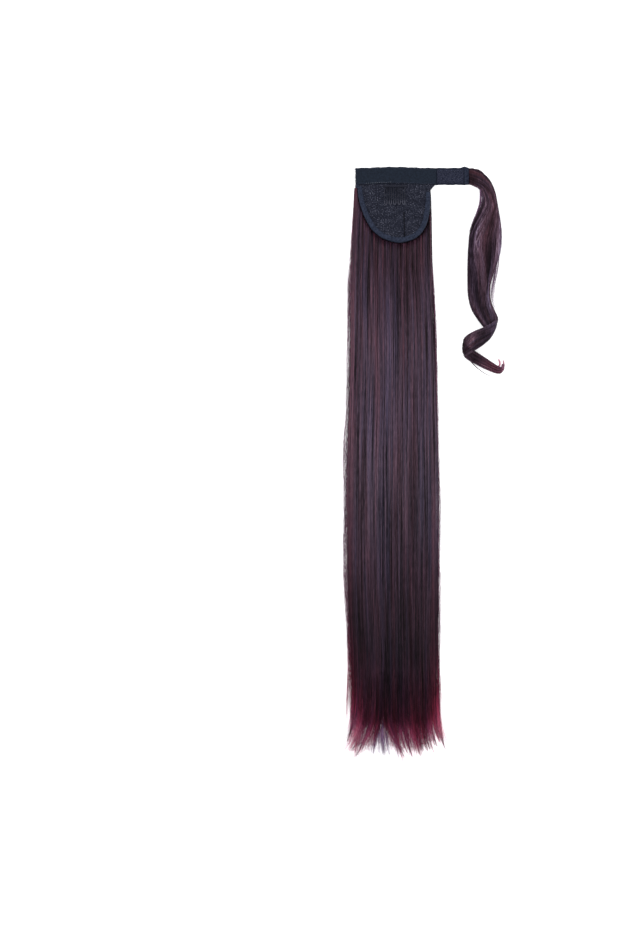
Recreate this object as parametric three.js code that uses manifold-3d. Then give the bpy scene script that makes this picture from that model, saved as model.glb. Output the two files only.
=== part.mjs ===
// A ponytail hairpiece that wraps round a wearer's own tail, lying on a table with the inside of its
// cap up. All sizes are in millimetres. +X runs along the band towards its free end, -Y runs down
// the tail and +Z points up from the table. The origin is on the underside of the band, on its
// centre line, at the middle of the cap.
import * as THREE from "three";
import { mergeVertices } from "three/addons/utils/BufferGeometryUtils.js";
import Module from "manifold-3d";

const wasm = await Module();
wasm.setup();

// Clearance between two pieces that are sewn together, and more of it where both are curved.
const GAP = 0.3;
const CURVE_SLACK = 0.2;

// The band: a loop tape outside, a lining inside over the cap, and a hook patch at the free end.
const BAND_WIDTH = 20;
const BAND_OVERHANG = 2.1;
const BAND_ARCH = 1.3;
const TAPE_THICK = 1.3;
const LINING_WIDTH = 18.5;
const LINING_REACH = 7.8;
const LINING_THICK = 1;
const HOOK_LENGTH = 32;
const HOOK_WIDTH = 15.5;
const HOOK_THICK = 1.8;
const TAB_LENGTH = 5.5;
const TAB_WIDTH = 19;
const TAB_THICK = 1;

// The cap: a dished net with a folded binding round its edge.
const CAP_WIDTH = 85;
const CAP_DEPTH = 69;
const CAP_LIFT = 15;
const CAP_FLAT = 8;
const NET_THICK = 1;
const NET_SEAM = 18;
const CORNER_RADIUS = 6;
const BINDING_WIDTH = 5.5;
const BINDING_THICK = 1;

// The comb: a wire bent into narrow loops, held in a bar. Its middle lies a little to the free side.
const COMB_TEETH = 5;
const COMB_MIDDLE = 1.3;
const COMB_PITCH = 5.2;
const COMB_LENGTH = 21.8;
const COMB_RISE = 2.2;
const COMB_WIRE = 1.1;
const TOOTH_WIDTH = 2.6;
const BAR_DEPTH = 2.6;
const BAR_THICK = 2;
const BAR_END = 1.4;

// The tail of hair, from the lower edge of the band to its longest tip.
const TAIL_LENGTH = 677;
const TAIL_WIDTH = 110;
const TAIL_THICK = 18;
const SIDE_THICK = 0.8;
const VALLEY_SHARE = 0.84;
const TIP_WIDTH = 2.2;
const TIP_THICK = 1.2;

// The wavy lock that winds over the band when it is worn.
const LOCK_DROP = 232;
const LOCK_SPREAD = 43;
const LOCK_THICK = 9;
const LOCK_RISE = 13;
const ROOT_THICK = 1;
const ROOT_MARGIN = 1;

// The edge of the cap, as shares of CAP_DEPTH below the band and of half CAP_WIDTH to each side.
const CAP_EDGE = [
  { down: 0.0, left: 1.0, right: 1.02 },
  { down: 0.17, left: 0.98, right: 1.02 },
  { down: 0.34, left: 0.925, right: 1.01 },
  { down: 0.5, left: 0.84, right: 0.975 },
  { down: 0.65, left: 0.73, right: 0.92 },
  { down: 0.77, left: 0.61, right: 0.83 },
  { down: 0.87, left: 0.44, right: 0.7 },
  { down: 0.95, left: 0.22, right: 0.5 },
];
const CAP_FOOT = { down: 1.0, across: 0.15 };
// Where the binding stops on the side of the free end, as a share of CAP_DEPTH.
const BINDING_STOP = 0.1;

// The tail's outline and thickness: shares of TAIL_LENGTH, of half TAIL_WIDTH and of TAIL_THICK.
const TAIL_SECTIONS = [
  { at: 0.0, left: 0.83, right: 0.79, thick: 0.16 },
  { at: 0.026, left: 0.87, right: 0.8, thick: 0.45 },
  { at: 0.078, left: 0.9, right: 0.81, thick: 0.82 },
  { at: 0.14, left: 0.93, right: 0.83, thick: 1.0 },
  { at: 0.22, left: 0.955, right: 0.866, thick: 0.98 },
  { at: 0.36, left: 0.985, right: 0.91, thick: 0.92 },
  { at: 0.5, left: 1.035, right: 0.965, thick: 0.86 },
  { at: 0.7, left: 1.04, right: 0.983, thick: 0.76 },
  { at: 0.81, left: 0.99, right: 0.955, thick: 0.66 },
  { at: 0.88, left: 0.93, right: 0.972, thick: 0.54 },
  { at: 0.935, left: 0.91, right: 0.985, thick: 0.38 },
];

// The locks of the tail. top and low place a lock's middle across the tail at its root and at
// the last section above, wide is half its width, crown is how high it stands, and tip and end say
// where it ends across the tail and along it. Negative is the side away from the free end.
const TAIL_LOCKS = [
  { top: -0.9, low: -0.92, wide: 0.13, crown: 0.9, tip: -1.11, end: 0.977 },
  { top: -0.7, low: -0.79, wide: 0.12, crown: 1.0, tip: -1.02, end: 0.987 },
  { top: -0.43, low: -0.62, wide: 0.15, crown: 0.95, tip: -0.87, end: 0.994 },
  { top: -0.2, low: -0.43, wide: 0.13, crown: 1.03, tip: -0.7, end: 0.994 },
  { top: 0.02, low: -0.2, wide: 0.12, crown: 0.94, tip: 0.22, end: 1.0 },
  { top: 0.19, low: 0.05, wide: 0.12, crown: 1.0, tip: 0.39, end: 0.993 },
  { top: 0.36, low: 0.26, wide: 0.11, crown: 0.96, tip: 0.55, end: 0.99 },
  { top: 0.54, low: 0.47, wide: 0.12, crown: 1.04, tip: 0.72, end: 0.984 },
  { top: 0.73, low: 0.68, wide: 0.13, crown: 0.95, tip: 0.86, end: 0.986 },
  { top: 0.91, low: 0.9, wide: 0.12, crown: 0.9, tip: 1.17, end: 0.973 },
];
// Locks of the lower layer, which show only at the foot of the tail.
const UNDER_LOCKS = [
  { low: -0.8, wide: 0.16, tip: -1.12, end: 0.966 },
  { low: -0.36, wide: 0.1, tip: -0.5, end: 0.987 },
  { low: -0.24, wide: 0.09, tip: -0.28, end: 0.98 },
  { low: -0.1, wide: 0.09, tip: -0.07, end: 0.983 },
  { low: 0.16, wide: 0.16, tip: 0.3, end: 0.984 },
  { low: 0.58, wide: 0.16, tip: 0.79, end: 0.978 },
  { low: 0.86, wide: 0.12, tip: 1.02, end: 0.966 },
];
// How a lock narrows from the last section of the tail to its tip, as shares of the way between.
const TIP_TAPER = [
  { at: 0.0, wide: 1.0, thick: 1.0 },
  { at: 0.4, wide: 0.92, thick: 0.72 },
  { at: 0.75, wide: 0.58, thick: 0.42 },
  { at: 1.0, wide: 0.0, thick: 0.0 },
];

// The wavy lock, as its two edges in plan: inner and outer give each edge as shares of LOCK_SPREAD
// past the end of the band and of LOCK_DROP down from the band's centre line. thick is a share of
// LOCK_THICK, lift of LOCK_RISE, and slit opens the lock between its first two strips.
const LOCK_ROWS = [
  { inner: [0.17, 0.053], outer: [0.24, -0.038], thick: 0.45, lift: 0, slit: 0 },
  { inner: [0.28, 0.066], outer: [0.53, 0.008], thick: 0.65, lift: 0, slit: 0 },
  { inner: [0.34, 0.094], outer: [0.7, 0.068], thick: 0.8, lift: 0, slit: 0 },
  { inner: [0.34, 0.139], outer: [0.78, 0.139], thick: 0.9, lift: 0, slit: 0 },
  { inner: [0.23, 0.205], outer: [0.84, 0.205], thick: 1, lift: 0, slit: 0.03 },
  { inner: [0.05, 0.276], outer: [0.9, 0.276], thick: 1, lift: 0, slit: 0.09 },
  { inner: [-0.02, 0.362], outer: [0.88, 0.362], thick: 1, lift: 0, slit: 0.1 },
  { inner: [-0.04, 0.443], outer: [0.77, 0.443], thick: 1, lift: 0, slit: 0.06 },
  { inner: [-0.04, 0.524], outer: [0.61, 0.524], thick: 0.95, lift: 0, slit: 0 },
  { inner: [-0.03, 0.6], outer: [0.56, 0.59], thick: 0.9, lift: 0, slit: 0 },
  { inner: [0.06, 0.671], outer: [0.62, 0.648], thick: 0.9, lift: 0, slit: 0 },
  { inner: [0.25, 0.729], outer: [0.75, 0.694], thick: 0.85, lift: 0.02, slit: 0 },
  { inner: [0.44, 0.772], outer: [0.8, 0.727], thick: 0.8, lift: 0.15, slit: 0 },
  { inner: [0.65, 0.788], outer: [0.69, 0.737], thick: 0.75, lift: 0.55, slit: 0 },
  { inner: [0.57, 0.823], outer: [0.46, 0.767], thick: 0.75, lift: 0.95, slit: 0 },
  { inner: [0.36, 0.858], outer: [0.16, 0.79], thick: 0.75, lift: 1.0, slit: 0 },
  { inner: [0.17, 0.881], outer: [-0.07, 0.82], thick: 0.75, lift: 0.85, slit: 0 },
  { inner: [-0.05, 0.914], outer: [-0.09, 0.848], thick: 0.7, lift: 0.45, slit: 0 },
  { inner: [0.08, 0.937], outer: [0.08, 0.874], thick: 0.65, lift: 0.05, slit: 0 },
  { inner: [0.4, 0.972], outer: [0.44, 0.917], thick: 0.55, lift: 0, slit: 0 },
  { inner: [0.7, 0.995], outer: [0.75, 0.955], thick: 0.45, lift: 0, slit: 0 },
  { inner: [0.87, 0.998], outer: [0.88, 0.967], thick: 0.35, lift: 0, slit: 0 },
  { inner: [0.97, 0.975], outer: [0.89, 0.961], thick: 0.25, lift: 0, slit: 0 },
  { inner: [0.97, 0.95], outer: [0.91, 0.949], thick: 0.15, lift: 0, slit: 0 },
];
// The strips of hair that make up the lock, as shares of its width from the inner edge.
const LOCK_STRIPS = [
  { from: 0.0, to: 0.34, thick: 0.85 },
  { from: 0.28, to: 0.7, thick: 1.0 },
  { from: 0.62, to: 1.0, thick: 0.8 },
];

// Where the body of the tail ends and its locks part, as a share of its length.
const BODY_END = TAIL_SECTIONS[TAIL_SECTIONS.length - 1].at;

// Heights of the layers of the band, from the table up.
const SEAM_BOTTOM = TAPE_THICK + GAP;
const NET_MIDDLE = SEAM_BOTTOM + NET_THICK / 2;
const LINING_BOTTOM = SEAM_BOTTOM + NET_THICK + GAP;
const TAB_BOTTOM = SEAM_BOTTOM + ROOT_THICK + GAP;

// Places along and across the band: the lining, the hook patch and the lock's root, in a row.
const BAND_LEFT = -CAP_WIDTH / 2 - BAND_OVERHANG;
const LINING_RIGHT = CAP_WIDTH / 2 + LINING_REACH;
const HOOK_LEFT = LINING_RIGHT + GAP;
const TAB_LEFT = HOOK_LEFT + HOOK_LENGTH + GAP;
const BAND_RIGHT = TAB_LEFT + TAB_LENGTH;
const BAND_EDGE = -BAND_WIDTH / 2;

const FINISHES = {
  tape: { color: 0x222a3a, roughness: 0.95, metalness: 0 },
  lining: { color: 0x262d3e, roughness: 0.8, metalness: 0 },
  hook: { color: 0x2c3044, roughness: 0.75, metalness: 0 },
  net: { color: 0x2b2f3d, roughness: 0.9, metalness: 0 },
  binding: { color: 0x28344a, roughness: 0.7, metalness: 0 },
  comb: { color: 0x20222c, roughness: 0.35, metalness: 0 },
  hair: { color: 0x3e2a38, roughness: 0.4, metalness: 0 },
};

const clamp = THREE.MathUtils.clamp;
const lerp = THREE.MathUtils.lerp;

// The value of one column of a table at a place along it, on straight lines between its rows.
function column(rows, name, at) {
  const next = rows.findIndex((row) => row.at >= at);
  if (next === 0) return rows[0][name];
  if (next < 0) return rows[rows.length - 1][name];
  const [low, high] = [rows[next - 1], rows[next]];
  return lerp(low[name], high[name], (at - low.at) / (high.at - low.at));
}

function solidOf(geometry) {
  const bare = geometry.index ? geometry.toNonIndexed() : geometry.clone();
  bare.deleteAttribute("normal");
  bare.deleteAttribute("uv");
  const merged = mergeVertices(bare);
  const mesh = new wasm.Mesh({
    numProp: 3,
    vertProperties: merged.attributes.position.array,
    triVerts: new Uint32Array(merged.index.array),
  });
  return new wasm.Manifold(mesh);
}

function geometryOf(solid) {
  const mesh = solid.getMesh();
  const geometry = new THREE.BufferGeometry();
  geometry.setAttribute("position", new THREE.BufferAttribute(mesh.vertProperties, 3));
  geometry.setIndex(new THREE.BufferAttribute(mesh.triVerts, 1));
  geometry.computeVertexNormals();
  return geometry;
}

function joined(geometries) {
  return geometries.map(solidOf).reduce((whole, piece) => whole.add(piece));
}

// Triangles of one flat end of a loft, wound the way its ring runs.
function endTriangles(ring) {
  const normal = new THREE.Vector3();
  ring.forEach((p, i) => normal.add(new THREE.Vector3().crossVectors(p, ring[(i + 1) % ring.length])));
  const turn = new THREE.Quaternion().setFromUnitVectors(normal.normalize(), new THREE.Vector3(0, 0, 1));
  const flat = ring.map((p) => {
    const turned = p.clone().sub(ring[0]).applyQuaternion(turn);
    return new THREE.Vector2(turned.x, turned.y);
  });
  return THREE.ShapeUtils.triangulateShape(flat, []);
}

// A closed solid through rings of points, one ring for each section, with a flat face at each end.
function loft(rings) {
  const count = rings[0].length;
  const index = [];
  for (let ring = 0; ring + 1 < rings.length; ring++) {
    for (let i = 0; i < count; i++) {
      const a = ring * count + i;
      const b = ring * count + ((i + 1) % count);
      index.push(a, b, b + count, a, b + count, a + count);
    }
  }
  const last = (rings.length - 1) * count;
  for (const [i, j, k] of endTriangles(rings[0])) index.push(i, k, j);
  for (const [i, j, k] of endTriangles(rings[rings.length - 1])) index.push(last + i, last + j, last + k);
  const geometry = new THREE.BufferGeometry().setFromPoints(rings.flat());
  geometry.setIndex(index);
  geometry.computeVertexNormals();
  return geometry;
}

// The band bows up a little over the cap: the height of its centre line in plan.
function bandMiddle(x) {
  const along = clamp(x / (CAP_WIDTH / 2), -1, 1);
  return (BAND_ARCH * (1 + Math.cos(Math.PI * along))) / 2;
}

// A flat length of tape that follows the band.
function tape(left, right, width, bottom, thick) {
  const steps = 14;
  const xs = Array.from({ length: steps + 1 }, (_, i) => lerp(left, right, i / steps));
  const lower = xs.map((x) => new THREE.Vector2(x, bandMiddle(x) - width / 2));
  const upper = xs.map((x) => new THREE.Vector2(x, bandMiddle(x) + width / 2)).reverse();
  const shape = new THREE.Shape([...lower, ...upper]);
  const geometry = new THREE.ExtrudeGeometry(shape, { depth: thick, bevelEnabled: false });
  return geometry.translate(0, 0, bottom);
}

function loopTape() {
  return tape(BAND_LEFT, BAND_RIGHT, BAND_WIDTH, 0, TAPE_THICK);
}

function bandLining() {
  return tape(BAND_LEFT, LINING_RIGHT, LINING_WIDTH, LINING_BOTTOM, LINING_THICK);
}

function hookPatch() {
  return tape(HOOK_LEFT, HOOK_LEFT + HOOK_LENGTH, HOOK_WIDTH, SEAM_BOTTOM, HOOK_THICK);
}

function rootTab() {
  return tape(TAB_LEFT, BAND_RIGHT, TAB_WIDTH, TAB_BOTTOM, TAB_THICK);
}

// The height of the middle of the net over the table: level by the band, then dished.
function netHeight(x, y) {
  const down = clamp((BAND_EDGE - CAP_FLAT - y) / (CAP_DEPTH - CAP_FLAT), 0, 1);
  const across = clamp(x / (CAP_WIDTH / 2), -1, 1);
  const floor = CAP_LIFT * down ** 2;
  const rim = CAP_LIFT * Math.sin((down * Math.PI) / 2) ** 1.15;
  return NET_MIDDLE + floor + (rim - floor) * across ** 2;
}

function netNormal(x, y) {
  const step = 0.5;
  const slopeX = (netHeight(x + step, y) - netHeight(x - step, y)) / (2 * step);
  const slopeY = (netHeight(x, y + step) - netHeight(x, y - step)) / (2 * step);
  return new THREE.Vector3(-slopeX, -slopeY, 1).normalize();
}

// A point off the middle of the net, by a distance along its normal.
function offNet(x, y, distance) {
  return new THREE.Vector3(x, y, netHeight(x, y)).addScaledVector(netNormal(x, y), distance);
}

function capPoint(down, across) {
  return new THREE.Vector2((across * CAP_WIDTH) / 2, BAND_EDGE - down * CAP_DEPTH);
}

// The outside of the binding in plan, from the blind end of the band round to the free side.
function capEdge() {
  const left = CAP_EDGE.map((row) => capPoint(row.down, -row.left));
  const right = CAP_EDGE.map((row) => capPoint(row.down, row.right)).reverse();
  const curve = new THREE.SplineCurve([...left, capPoint(CAP_FOOT.down, CAP_FOOT.across), ...right]);
  const steps = 40;
  return Array.from({ length: steps + 1 }, (_, i) => {
    const point = curve.getPointAt(i / steps);
    const tangent = curve.getTangentAt(i / steps);
    return { point, inward: new THREE.Vector2(-tangent.y, tangent.x) };
  });
}

function insetEdge(edge, inset) {
  return edge.map(({ point, inward }) => point.clone().addScaledVector(inward, inset));
}

// A closed outline in plan: the edge of the cap, the free-side corner and the seam in the band.
function netOutline(inset) {
  const bound = capEdge().filter(({ point }, i) => {
    const stop = BAND_EDGE - BINDING_STOP * CAP_DEPTH;
    return i > 0 && (point.x < 0 || point.y < stop);
  });
  const edge = insetEdge(bound, inset);
  const side = edge[edge.length - 1].x;
  const corner = new THREE.Vector2(side + CORNER_RADIUS, BAND_EDGE - GAP - CORNER_RADIUS);
  const arc = [0.1, 0.4, 0.7, 1].map((share) => {
    const angle = Math.PI - (share * Math.PI) / 2;
    const spoke = new THREE.Vector2(Math.cos(angle), Math.sin(angle));
    return corner.clone().addScaledVector(spoke, CORNER_RADIUS);
  });
  const seamTop = BAND_EDGE + NET_SEAM;
  const seamRight = corner.x - GAP;
  const seamLeft = edge[0].x;
  const seam = [1, 0.75, 0.5, 0.25, 0].map((share) => {
    return new THREE.Vector2(lerp(seamLeft, seamRight, share), seamTop);
  });
  return [...edge, ...arc, new THREE.Vector2(seamRight, BAND_EDGE + GAP), ...seam];
}

// A sheet between two heights over an outline, in rings round a point inside it.
function dishedSheet(outline, lower, upper) {
  const middle = new THREE.Vector2(0, BAND_EDGE - 0.3 * CAP_DEPTH);
  const shares = [0.22, 0.45, 0.65, 0.79, 0.9, 1];
  const ringAt = (share, face) =>
    outline.map((p) => face(lerp(middle.x, p.x, share), lerp(middle.y, p.y, share), share));
  const down = shares.map((share) => ringAt(share, lower));
  const up = shares.map((share) => ringAt(share, upper)).reverse();
  return loft([...down, ...up]);
}

function capNet() {
  const outline = netOutline(BINDING_THICK + GAP);
  const lower = (x, y) => offNet(x, y, -NET_THICK / 2);
  const upper = (x, y) => offNet(x, y, NET_THICK / 2);
  return dishedSheet(outline, lower, upper);
}

// A folded tape round the edge of the net: a flap on each face of the net and a fold outside it.
function capBinding() {
  const near = NET_THICK / 2 + GAP + CURVE_SLACK;
  const far = near + BINDING_THICK;
  const hem = BINDING_THICK + GAP;
  const profile = [
    { inset: BINDING_WIDTH, off: near },
    { inset: BINDING_WIDTH / 2, off: near },
    { inset: BINDING_THICK, off: near },
    { inset: BINDING_THICK, off: -near },
    { inset: BINDING_WIDTH / 2, off: -near },
    { inset: BINDING_WIDTH, off: -near },
    { inset: BINDING_WIDTH, off: -far },
    { inset: BINDING_WIDTH / 2, off: -far },
    { inset: 0, off: -far },
    { inset: 0, off: far },
    { inset: BINDING_WIDTH / 2, off: far },
    { inset: BINDING_WIDTH, off: far },
  ];
  const stop = BAND_EDGE - (BINDING_STOP * CAP_DEPTH + hem);
  const edge = capEdge().filter(({ point }, i) => i > 0 && (point.x < 0 || point.y < stop));
  const rings = edge.map(({ point, inward }) =>
    profile.map(({ inset, off }) => {
      const place = point.clone().addScaledVector(inward, inset);
      const foot = point.clone().addScaledVector(inward, Math.max(inset, hem));
      const normal = netNormal(foot.x, foot.y);
      const height = netHeight(foot.x, foot.y);
      return new THREE.Vector3(place.x, place.y, height).addScaledVector(normal, off);
    }),
  );
  return loft(rings.reverse());
}

// The middle of the comb's wire at a share of its length from the bar.
function combPoint(x, along) {
  const y = BAND_EDGE - GAP - BAR_DEPTH / 2 - along * COMB_LENGTH;
  const half = (COMB_TEETH * COMB_PITCH) / 2;
  const seat = netHeight(COMB_MIDDLE + half, y) + NET_THICK / 2 + GAP + CURVE_SLACK + BAR_THICK / 2;
  return new THREE.Vector3(x, y, seat + COMB_RISE * Math.sin(0.62 * Math.PI * along));
}

function combTooth(x) {
  const half = TOOTH_WIDTH / 2;
  const turn = half / COMB_LENGTH;
  const shares = [0, 0.25, 0.5, 0.75, 1 - turn];
  const down = shares.map((along) => combPoint(x - half, along));
  const bend = [0.25, 0.5, 0.75].map((share) => {
    const angle = Math.PI * share;
    return combPoint(x - half * Math.cos(angle), 1 - turn + turn * Math.sin(angle));
  });
  const up = shares.map((along) => combPoint(x + half, along)).reverse();
  const wire = new THREE.Shape();
  wire.absarc(0, 0, COMB_WIRE / 2, 0, 2 * Math.PI, false);
  const path = new THREE.CatmullRomCurve3([...down, ...bend, ...up]);
  return new THREE.ExtrudeGeometry(wire, { steps: 18, curveSegments: 3, extrudePath: path });
}

function comb() {
  const first = COMB_MIDDLE - ((COMB_TEETH - 1) * COMB_PITCH) / 2;
  const teeth = Array.from({ length: COMB_TEETH }, (_, i) => combTooth(first + i * COMB_PITCH));
  const length = (COMB_TEETH - 1) * COMB_PITCH + TOOTH_WIDTH + 2 * BAR_END;
  const bar = new THREE.BoxGeometry(length, BAR_DEPTH, BAR_THICK);
  const seat = combPoint(COMB_MIDDLE, 0);
  bar.translate(seat.x, seat.y, seat.z);
  return geometryOf(joined([bar, ...teeth]));
}

// The tail's place across: -1 and 1 are its two sides, at a share of its length.
function tailX(across, at) {
  const left = (-column(TAIL_SECTIONS, "left", at) * TAIL_WIDTH) / 2;
  const right = (column(TAIL_SECTIONS, "right", at) * TAIL_WIDTH) / 2;
  return (left + right) / 2 + (across * (right - left)) / 2;
}

function tailY(at) {
  return BAND_EDGE - GAP - at * (TAIL_LENGTH - GAP);
}

// How high the tail stands at a place across it and along it.
function tailTop(across, at) {
  const round = (1 - Math.min(1, Math.abs(across)) ** 3) ** 0.6;
  return TAIL_THICK * column(TAIL_SECTIONS, "thick", at) * round;
}

// The place across the tail of the middle of a lock, at a share of the tail's length.
function lockAcross(lock, at) {
  return lerp(lock.top, lock.low, at / BODY_END);
}

// The body of the tail in section: a flat foot under one rounded ridge for each lock.
function bodySection({ at }) {
  const point = (across, height) => new THREE.Vector3(tailX(across, at), tailY(at), height);
  const crests = TAIL_LOCKS.map((lock) => {
    const across = lockAcross(lock, at);
    return { across, height: lock.crown * tailTop(across, at) };
  });
  const valleys = crests.slice(1).map((crest, i) => {
    const across = (crests[i].across + crest.across) / 2;
    return { across, height: VALLEY_SHARE * tailTop(across, at) };
  });
  const ridges = crests.flatMap((crest, i) => {
    const left = i > 0 ? valleys[i - 1] : { across: -1, height: SIDE_THICK };
    const right = i < valleys.length ? valleys[i] : { across: 1, height: SIDE_THICK };
    const shoulders = [left, right].map((foot) =>
      point((foot.across + crest.across) / 2, lerp(foot.height, crest.height, 0.72)),
    );
    const top = point(crest.across, crest.height);
    return [point(left.across, left.height), shoulders[0], top, shoulders[1]];
  });
  return [point(1, 0), point(-1, 0), ...ridges, point(1, SIDE_THICK)].reverse();
}

// One section of a lock that lies on the table: a flat foot under a round top.
function lockSection(x, y, halfWidth, height) {
  const foot = [-1, 1].map((share) => new THREE.Vector3(x + share * halfWidth, y, 0));
  const top = [0, 0.25, 0.5, 0.75, 1].map((share) => {
    const angle = share * Math.PI;
    const rise = 0.25 + 0.75 * Math.sin(angle);
    return new THREE.Vector3(x + Math.cos(angle) * halfWidth, y, height * rise);
  });
  return [...foot, ...top];
}

// The free end of a lock, from inside the body of the tail to its tip.
function lockEnd(lock, start, halfWidth, height) {
  const rings = TIP_TAPER.map(({ at, wide, thick }) => {
    const across = lerp(lock.low, lock.tip, at ** 1.4);
    return lockSection(
      tailX(across, start),
      tailY(lerp(start, lock.end, at)),
      lerp(TIP_WIDTH / 2, halfWidth, wide),
      lerp(TIP_THICK, height, thick),
    );
  });
  return loft(rings);
}

function topLockEnd(lock) {
  const start = BODY_END - 0.015;
  const half = (lock.wide * (tailX(1, start) - tailX(-1, start))) / 2;
  return lockEnd(lock, start, half, 0.95 * lock.crown * tailTop(lock.low, start));
}

function underLockEnd(lock) {
  const start = BODY_END - 0.07;
  const half = (lock.wide * TAIL_WIDTH) / 2;
  return lockEnd(lock, start, half, 0.45 * tailTop(lock.low, start));
}

// The room that the cap, its binding and the band take out of the hair below them.
function capRoom() {
  const shallow = NET_THICK / 2 + GAP + CURVE_SLACK;
  const deep = shallow + 2 * BINDING_THICK;
  const rimShare = 0.7;
  const lower = (x, y, share) => offNet(x, y, share > rimShare ? -deep : -shallow);
  const upper = (x, y) => new THREE.Vector3(x, y, 3 * (TAIL_THICK + CAP_LIFT));
  return dishedSheet(netOutline(-4 * GAP), lower, upper);
}

function tailHair() {
  const body = loft(TAIL_SECTIONS.map(bodySection));
  const ends = [...TAIL_LOCKS.map(topLockEnd), ...UNDER_LOCKS.map(underLockEnd)];
  return geometryOf(joined([body, ...ends]).subtract(solidOf(capRoom())));
}

// The wavy lock's rows as edges in space, after two rows for the root that is sewn in the band.
function lockEdges() {
  const rootHalf = BAND_WIDTH / 2 - ROOT_MARGIN;
  const rootHeight = SEAM_BOTTOM + ROOT_THICK / 2;
  const root = [TAB_LEFT + ROOT_MARGIN, BAND_RIGHT + GAP].map((x) => ({
    inner: new THREE.Vector3(x, -rootHalf, rootHeight),
    outer: new THREE.Vector3(x, rootHalf, rootHeight),
    thick: ROOT_THICK,
    slit: 0,
  }));
  const rest = LOCK_ROWS.map((row) => {
    const thick = row.thick * LOCK_THICK;
    const edge = ([across, down]) =>
      new THREE.Vector3(
        BAND_RIGHT + across * LOCK_SPREAD,
        -down * LOCK_DROP,
        thick / 2 + row.lift * LOCK_RISE,
      );
    return { inner: edge(row.inner), outer: edge(row.outer), thick, slit: row.slit };
  });
  return [...root, ...rest];
}

// A strip of the lock: flat six-sided sections between two shares of its width.
function lockStrip(rows, strip, index) {
  const inner = new THREE.CatmullRomCurve3(rows.map((row) => row.inner));
  const outer = new THREE.CatmullRomCurve3(rows.map((row) => row.outer));
  const spans = rows.length - 1;
  const steps = 2 * spans;
  const middleAt = (share) => inner.getPoint(share).add(outer.getPoint(share)).multiplyScalar(0.5);
  const rings = Array.from({ length: steps + 1 }, (_, i) => {
    const share = i / steps;
    const span = Math.min(spans - 1, Math.floor(share * spans));
    const part = share * spans - span;
    const between = (name) => lerp(rows[span][name], rows[span + 1][name], part);
    const slit = between("slit");
    const from = strip.from + (index === 1 ? slit : 0);
    const to = strip.to - (index === 0 ? slit : 0);
    const a = inner.getPoint(share);
    const b = outer.getPoint(share);
    const step = 0.5 / steps;
    const along = middleAt(Math.min(1, share + step)).sub(middleAt(Math.max(0, share - step)));
    const wide = b.clone().sub(a);
    const up = new THREE.Vector3().crossVectors(wide, along).normalize();
    const halfThick = (between("thick") / 2) * strip.thick;
    const middle = a.clone().lerp(b, (from + to) / 2);
    const halfWide = wide.multiplyScalar((to - from) / 2);
    const corners = [
      [-1, 0],
      [-0.5, 1],
      [0.5, 1],
      [1, 0],
      [0.5, -1],
      [-0.5, -1],
    ];
    return corners.map(([w, t]) => {
      const corner = middle.clone().addScaledVector(halfWide, w).addScaledVector(up, t * halfThick);
      return corner.setZ(Math.max(0, corner.z));
    });
  });
  return loft(rings);
}

function wrapLock() {
  const rows = lockEdges();
  return geometryOf(joined(LOCK_STRIPS.map((strip, index) => lockStrip(rows, strip, index))));
}

function piece(name, geometry, finish) {
  const mesh = new THREE.Mesh(geometry, new THREE.MeshStandardMaterial(FINISHES[finish]));
  mesh.name = name;
  return mesh;
}

const hairpiece = new THREE.Group();
hairpiece.add(
  piece("loop_tape", loopTape(), "tape"),
  piece("band_lining", bandLining(), "lining"),
  piece("hook_patch", hookPatch(), "hook"),
  piece("lock_root_tab", rootTab(), "tape"),
  piece("cap_net", capNet(), "net"),
  piece("cap_binding", capBinding(), "binding"),
  piece("comb", comb(), "comb"),
  piece("tail_hair", tailHair(), "hair"),
  piece("wrap_lock", wrapLock(), "hair"),
);

export default hairpiece;
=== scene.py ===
# A ponytail hairpiece lying on a table, the inside of its cap up, seen from straight above.
# Lengths are in millimetres until a mesh is made from them.
import math

import bmesh
import bpy
import numpy as np
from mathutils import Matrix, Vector
from mathutils.bvhtree import BVHTree


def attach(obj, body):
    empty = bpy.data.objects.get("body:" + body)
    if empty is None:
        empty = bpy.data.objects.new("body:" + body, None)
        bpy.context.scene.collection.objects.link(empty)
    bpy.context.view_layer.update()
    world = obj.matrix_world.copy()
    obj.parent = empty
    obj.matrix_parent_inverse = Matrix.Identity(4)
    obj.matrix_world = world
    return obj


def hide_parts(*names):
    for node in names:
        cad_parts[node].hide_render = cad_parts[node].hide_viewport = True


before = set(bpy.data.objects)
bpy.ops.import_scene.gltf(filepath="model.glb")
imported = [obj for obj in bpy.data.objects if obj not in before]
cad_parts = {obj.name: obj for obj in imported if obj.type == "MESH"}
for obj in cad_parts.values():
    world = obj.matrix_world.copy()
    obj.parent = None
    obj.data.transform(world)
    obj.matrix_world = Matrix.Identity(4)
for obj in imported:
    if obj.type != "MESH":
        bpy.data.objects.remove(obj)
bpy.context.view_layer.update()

MM = 0.001
draw = np.random.default_rng(28)

# How much of the table a pixel of the photograph spans, the pixel of the part's origin, and the
# photograph's size in pixels.
PIXEL = 1.175
ORIGIN_PIXEL = (393.5, 176.5)
PHOTO_SIZE = (620, 930)

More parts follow.
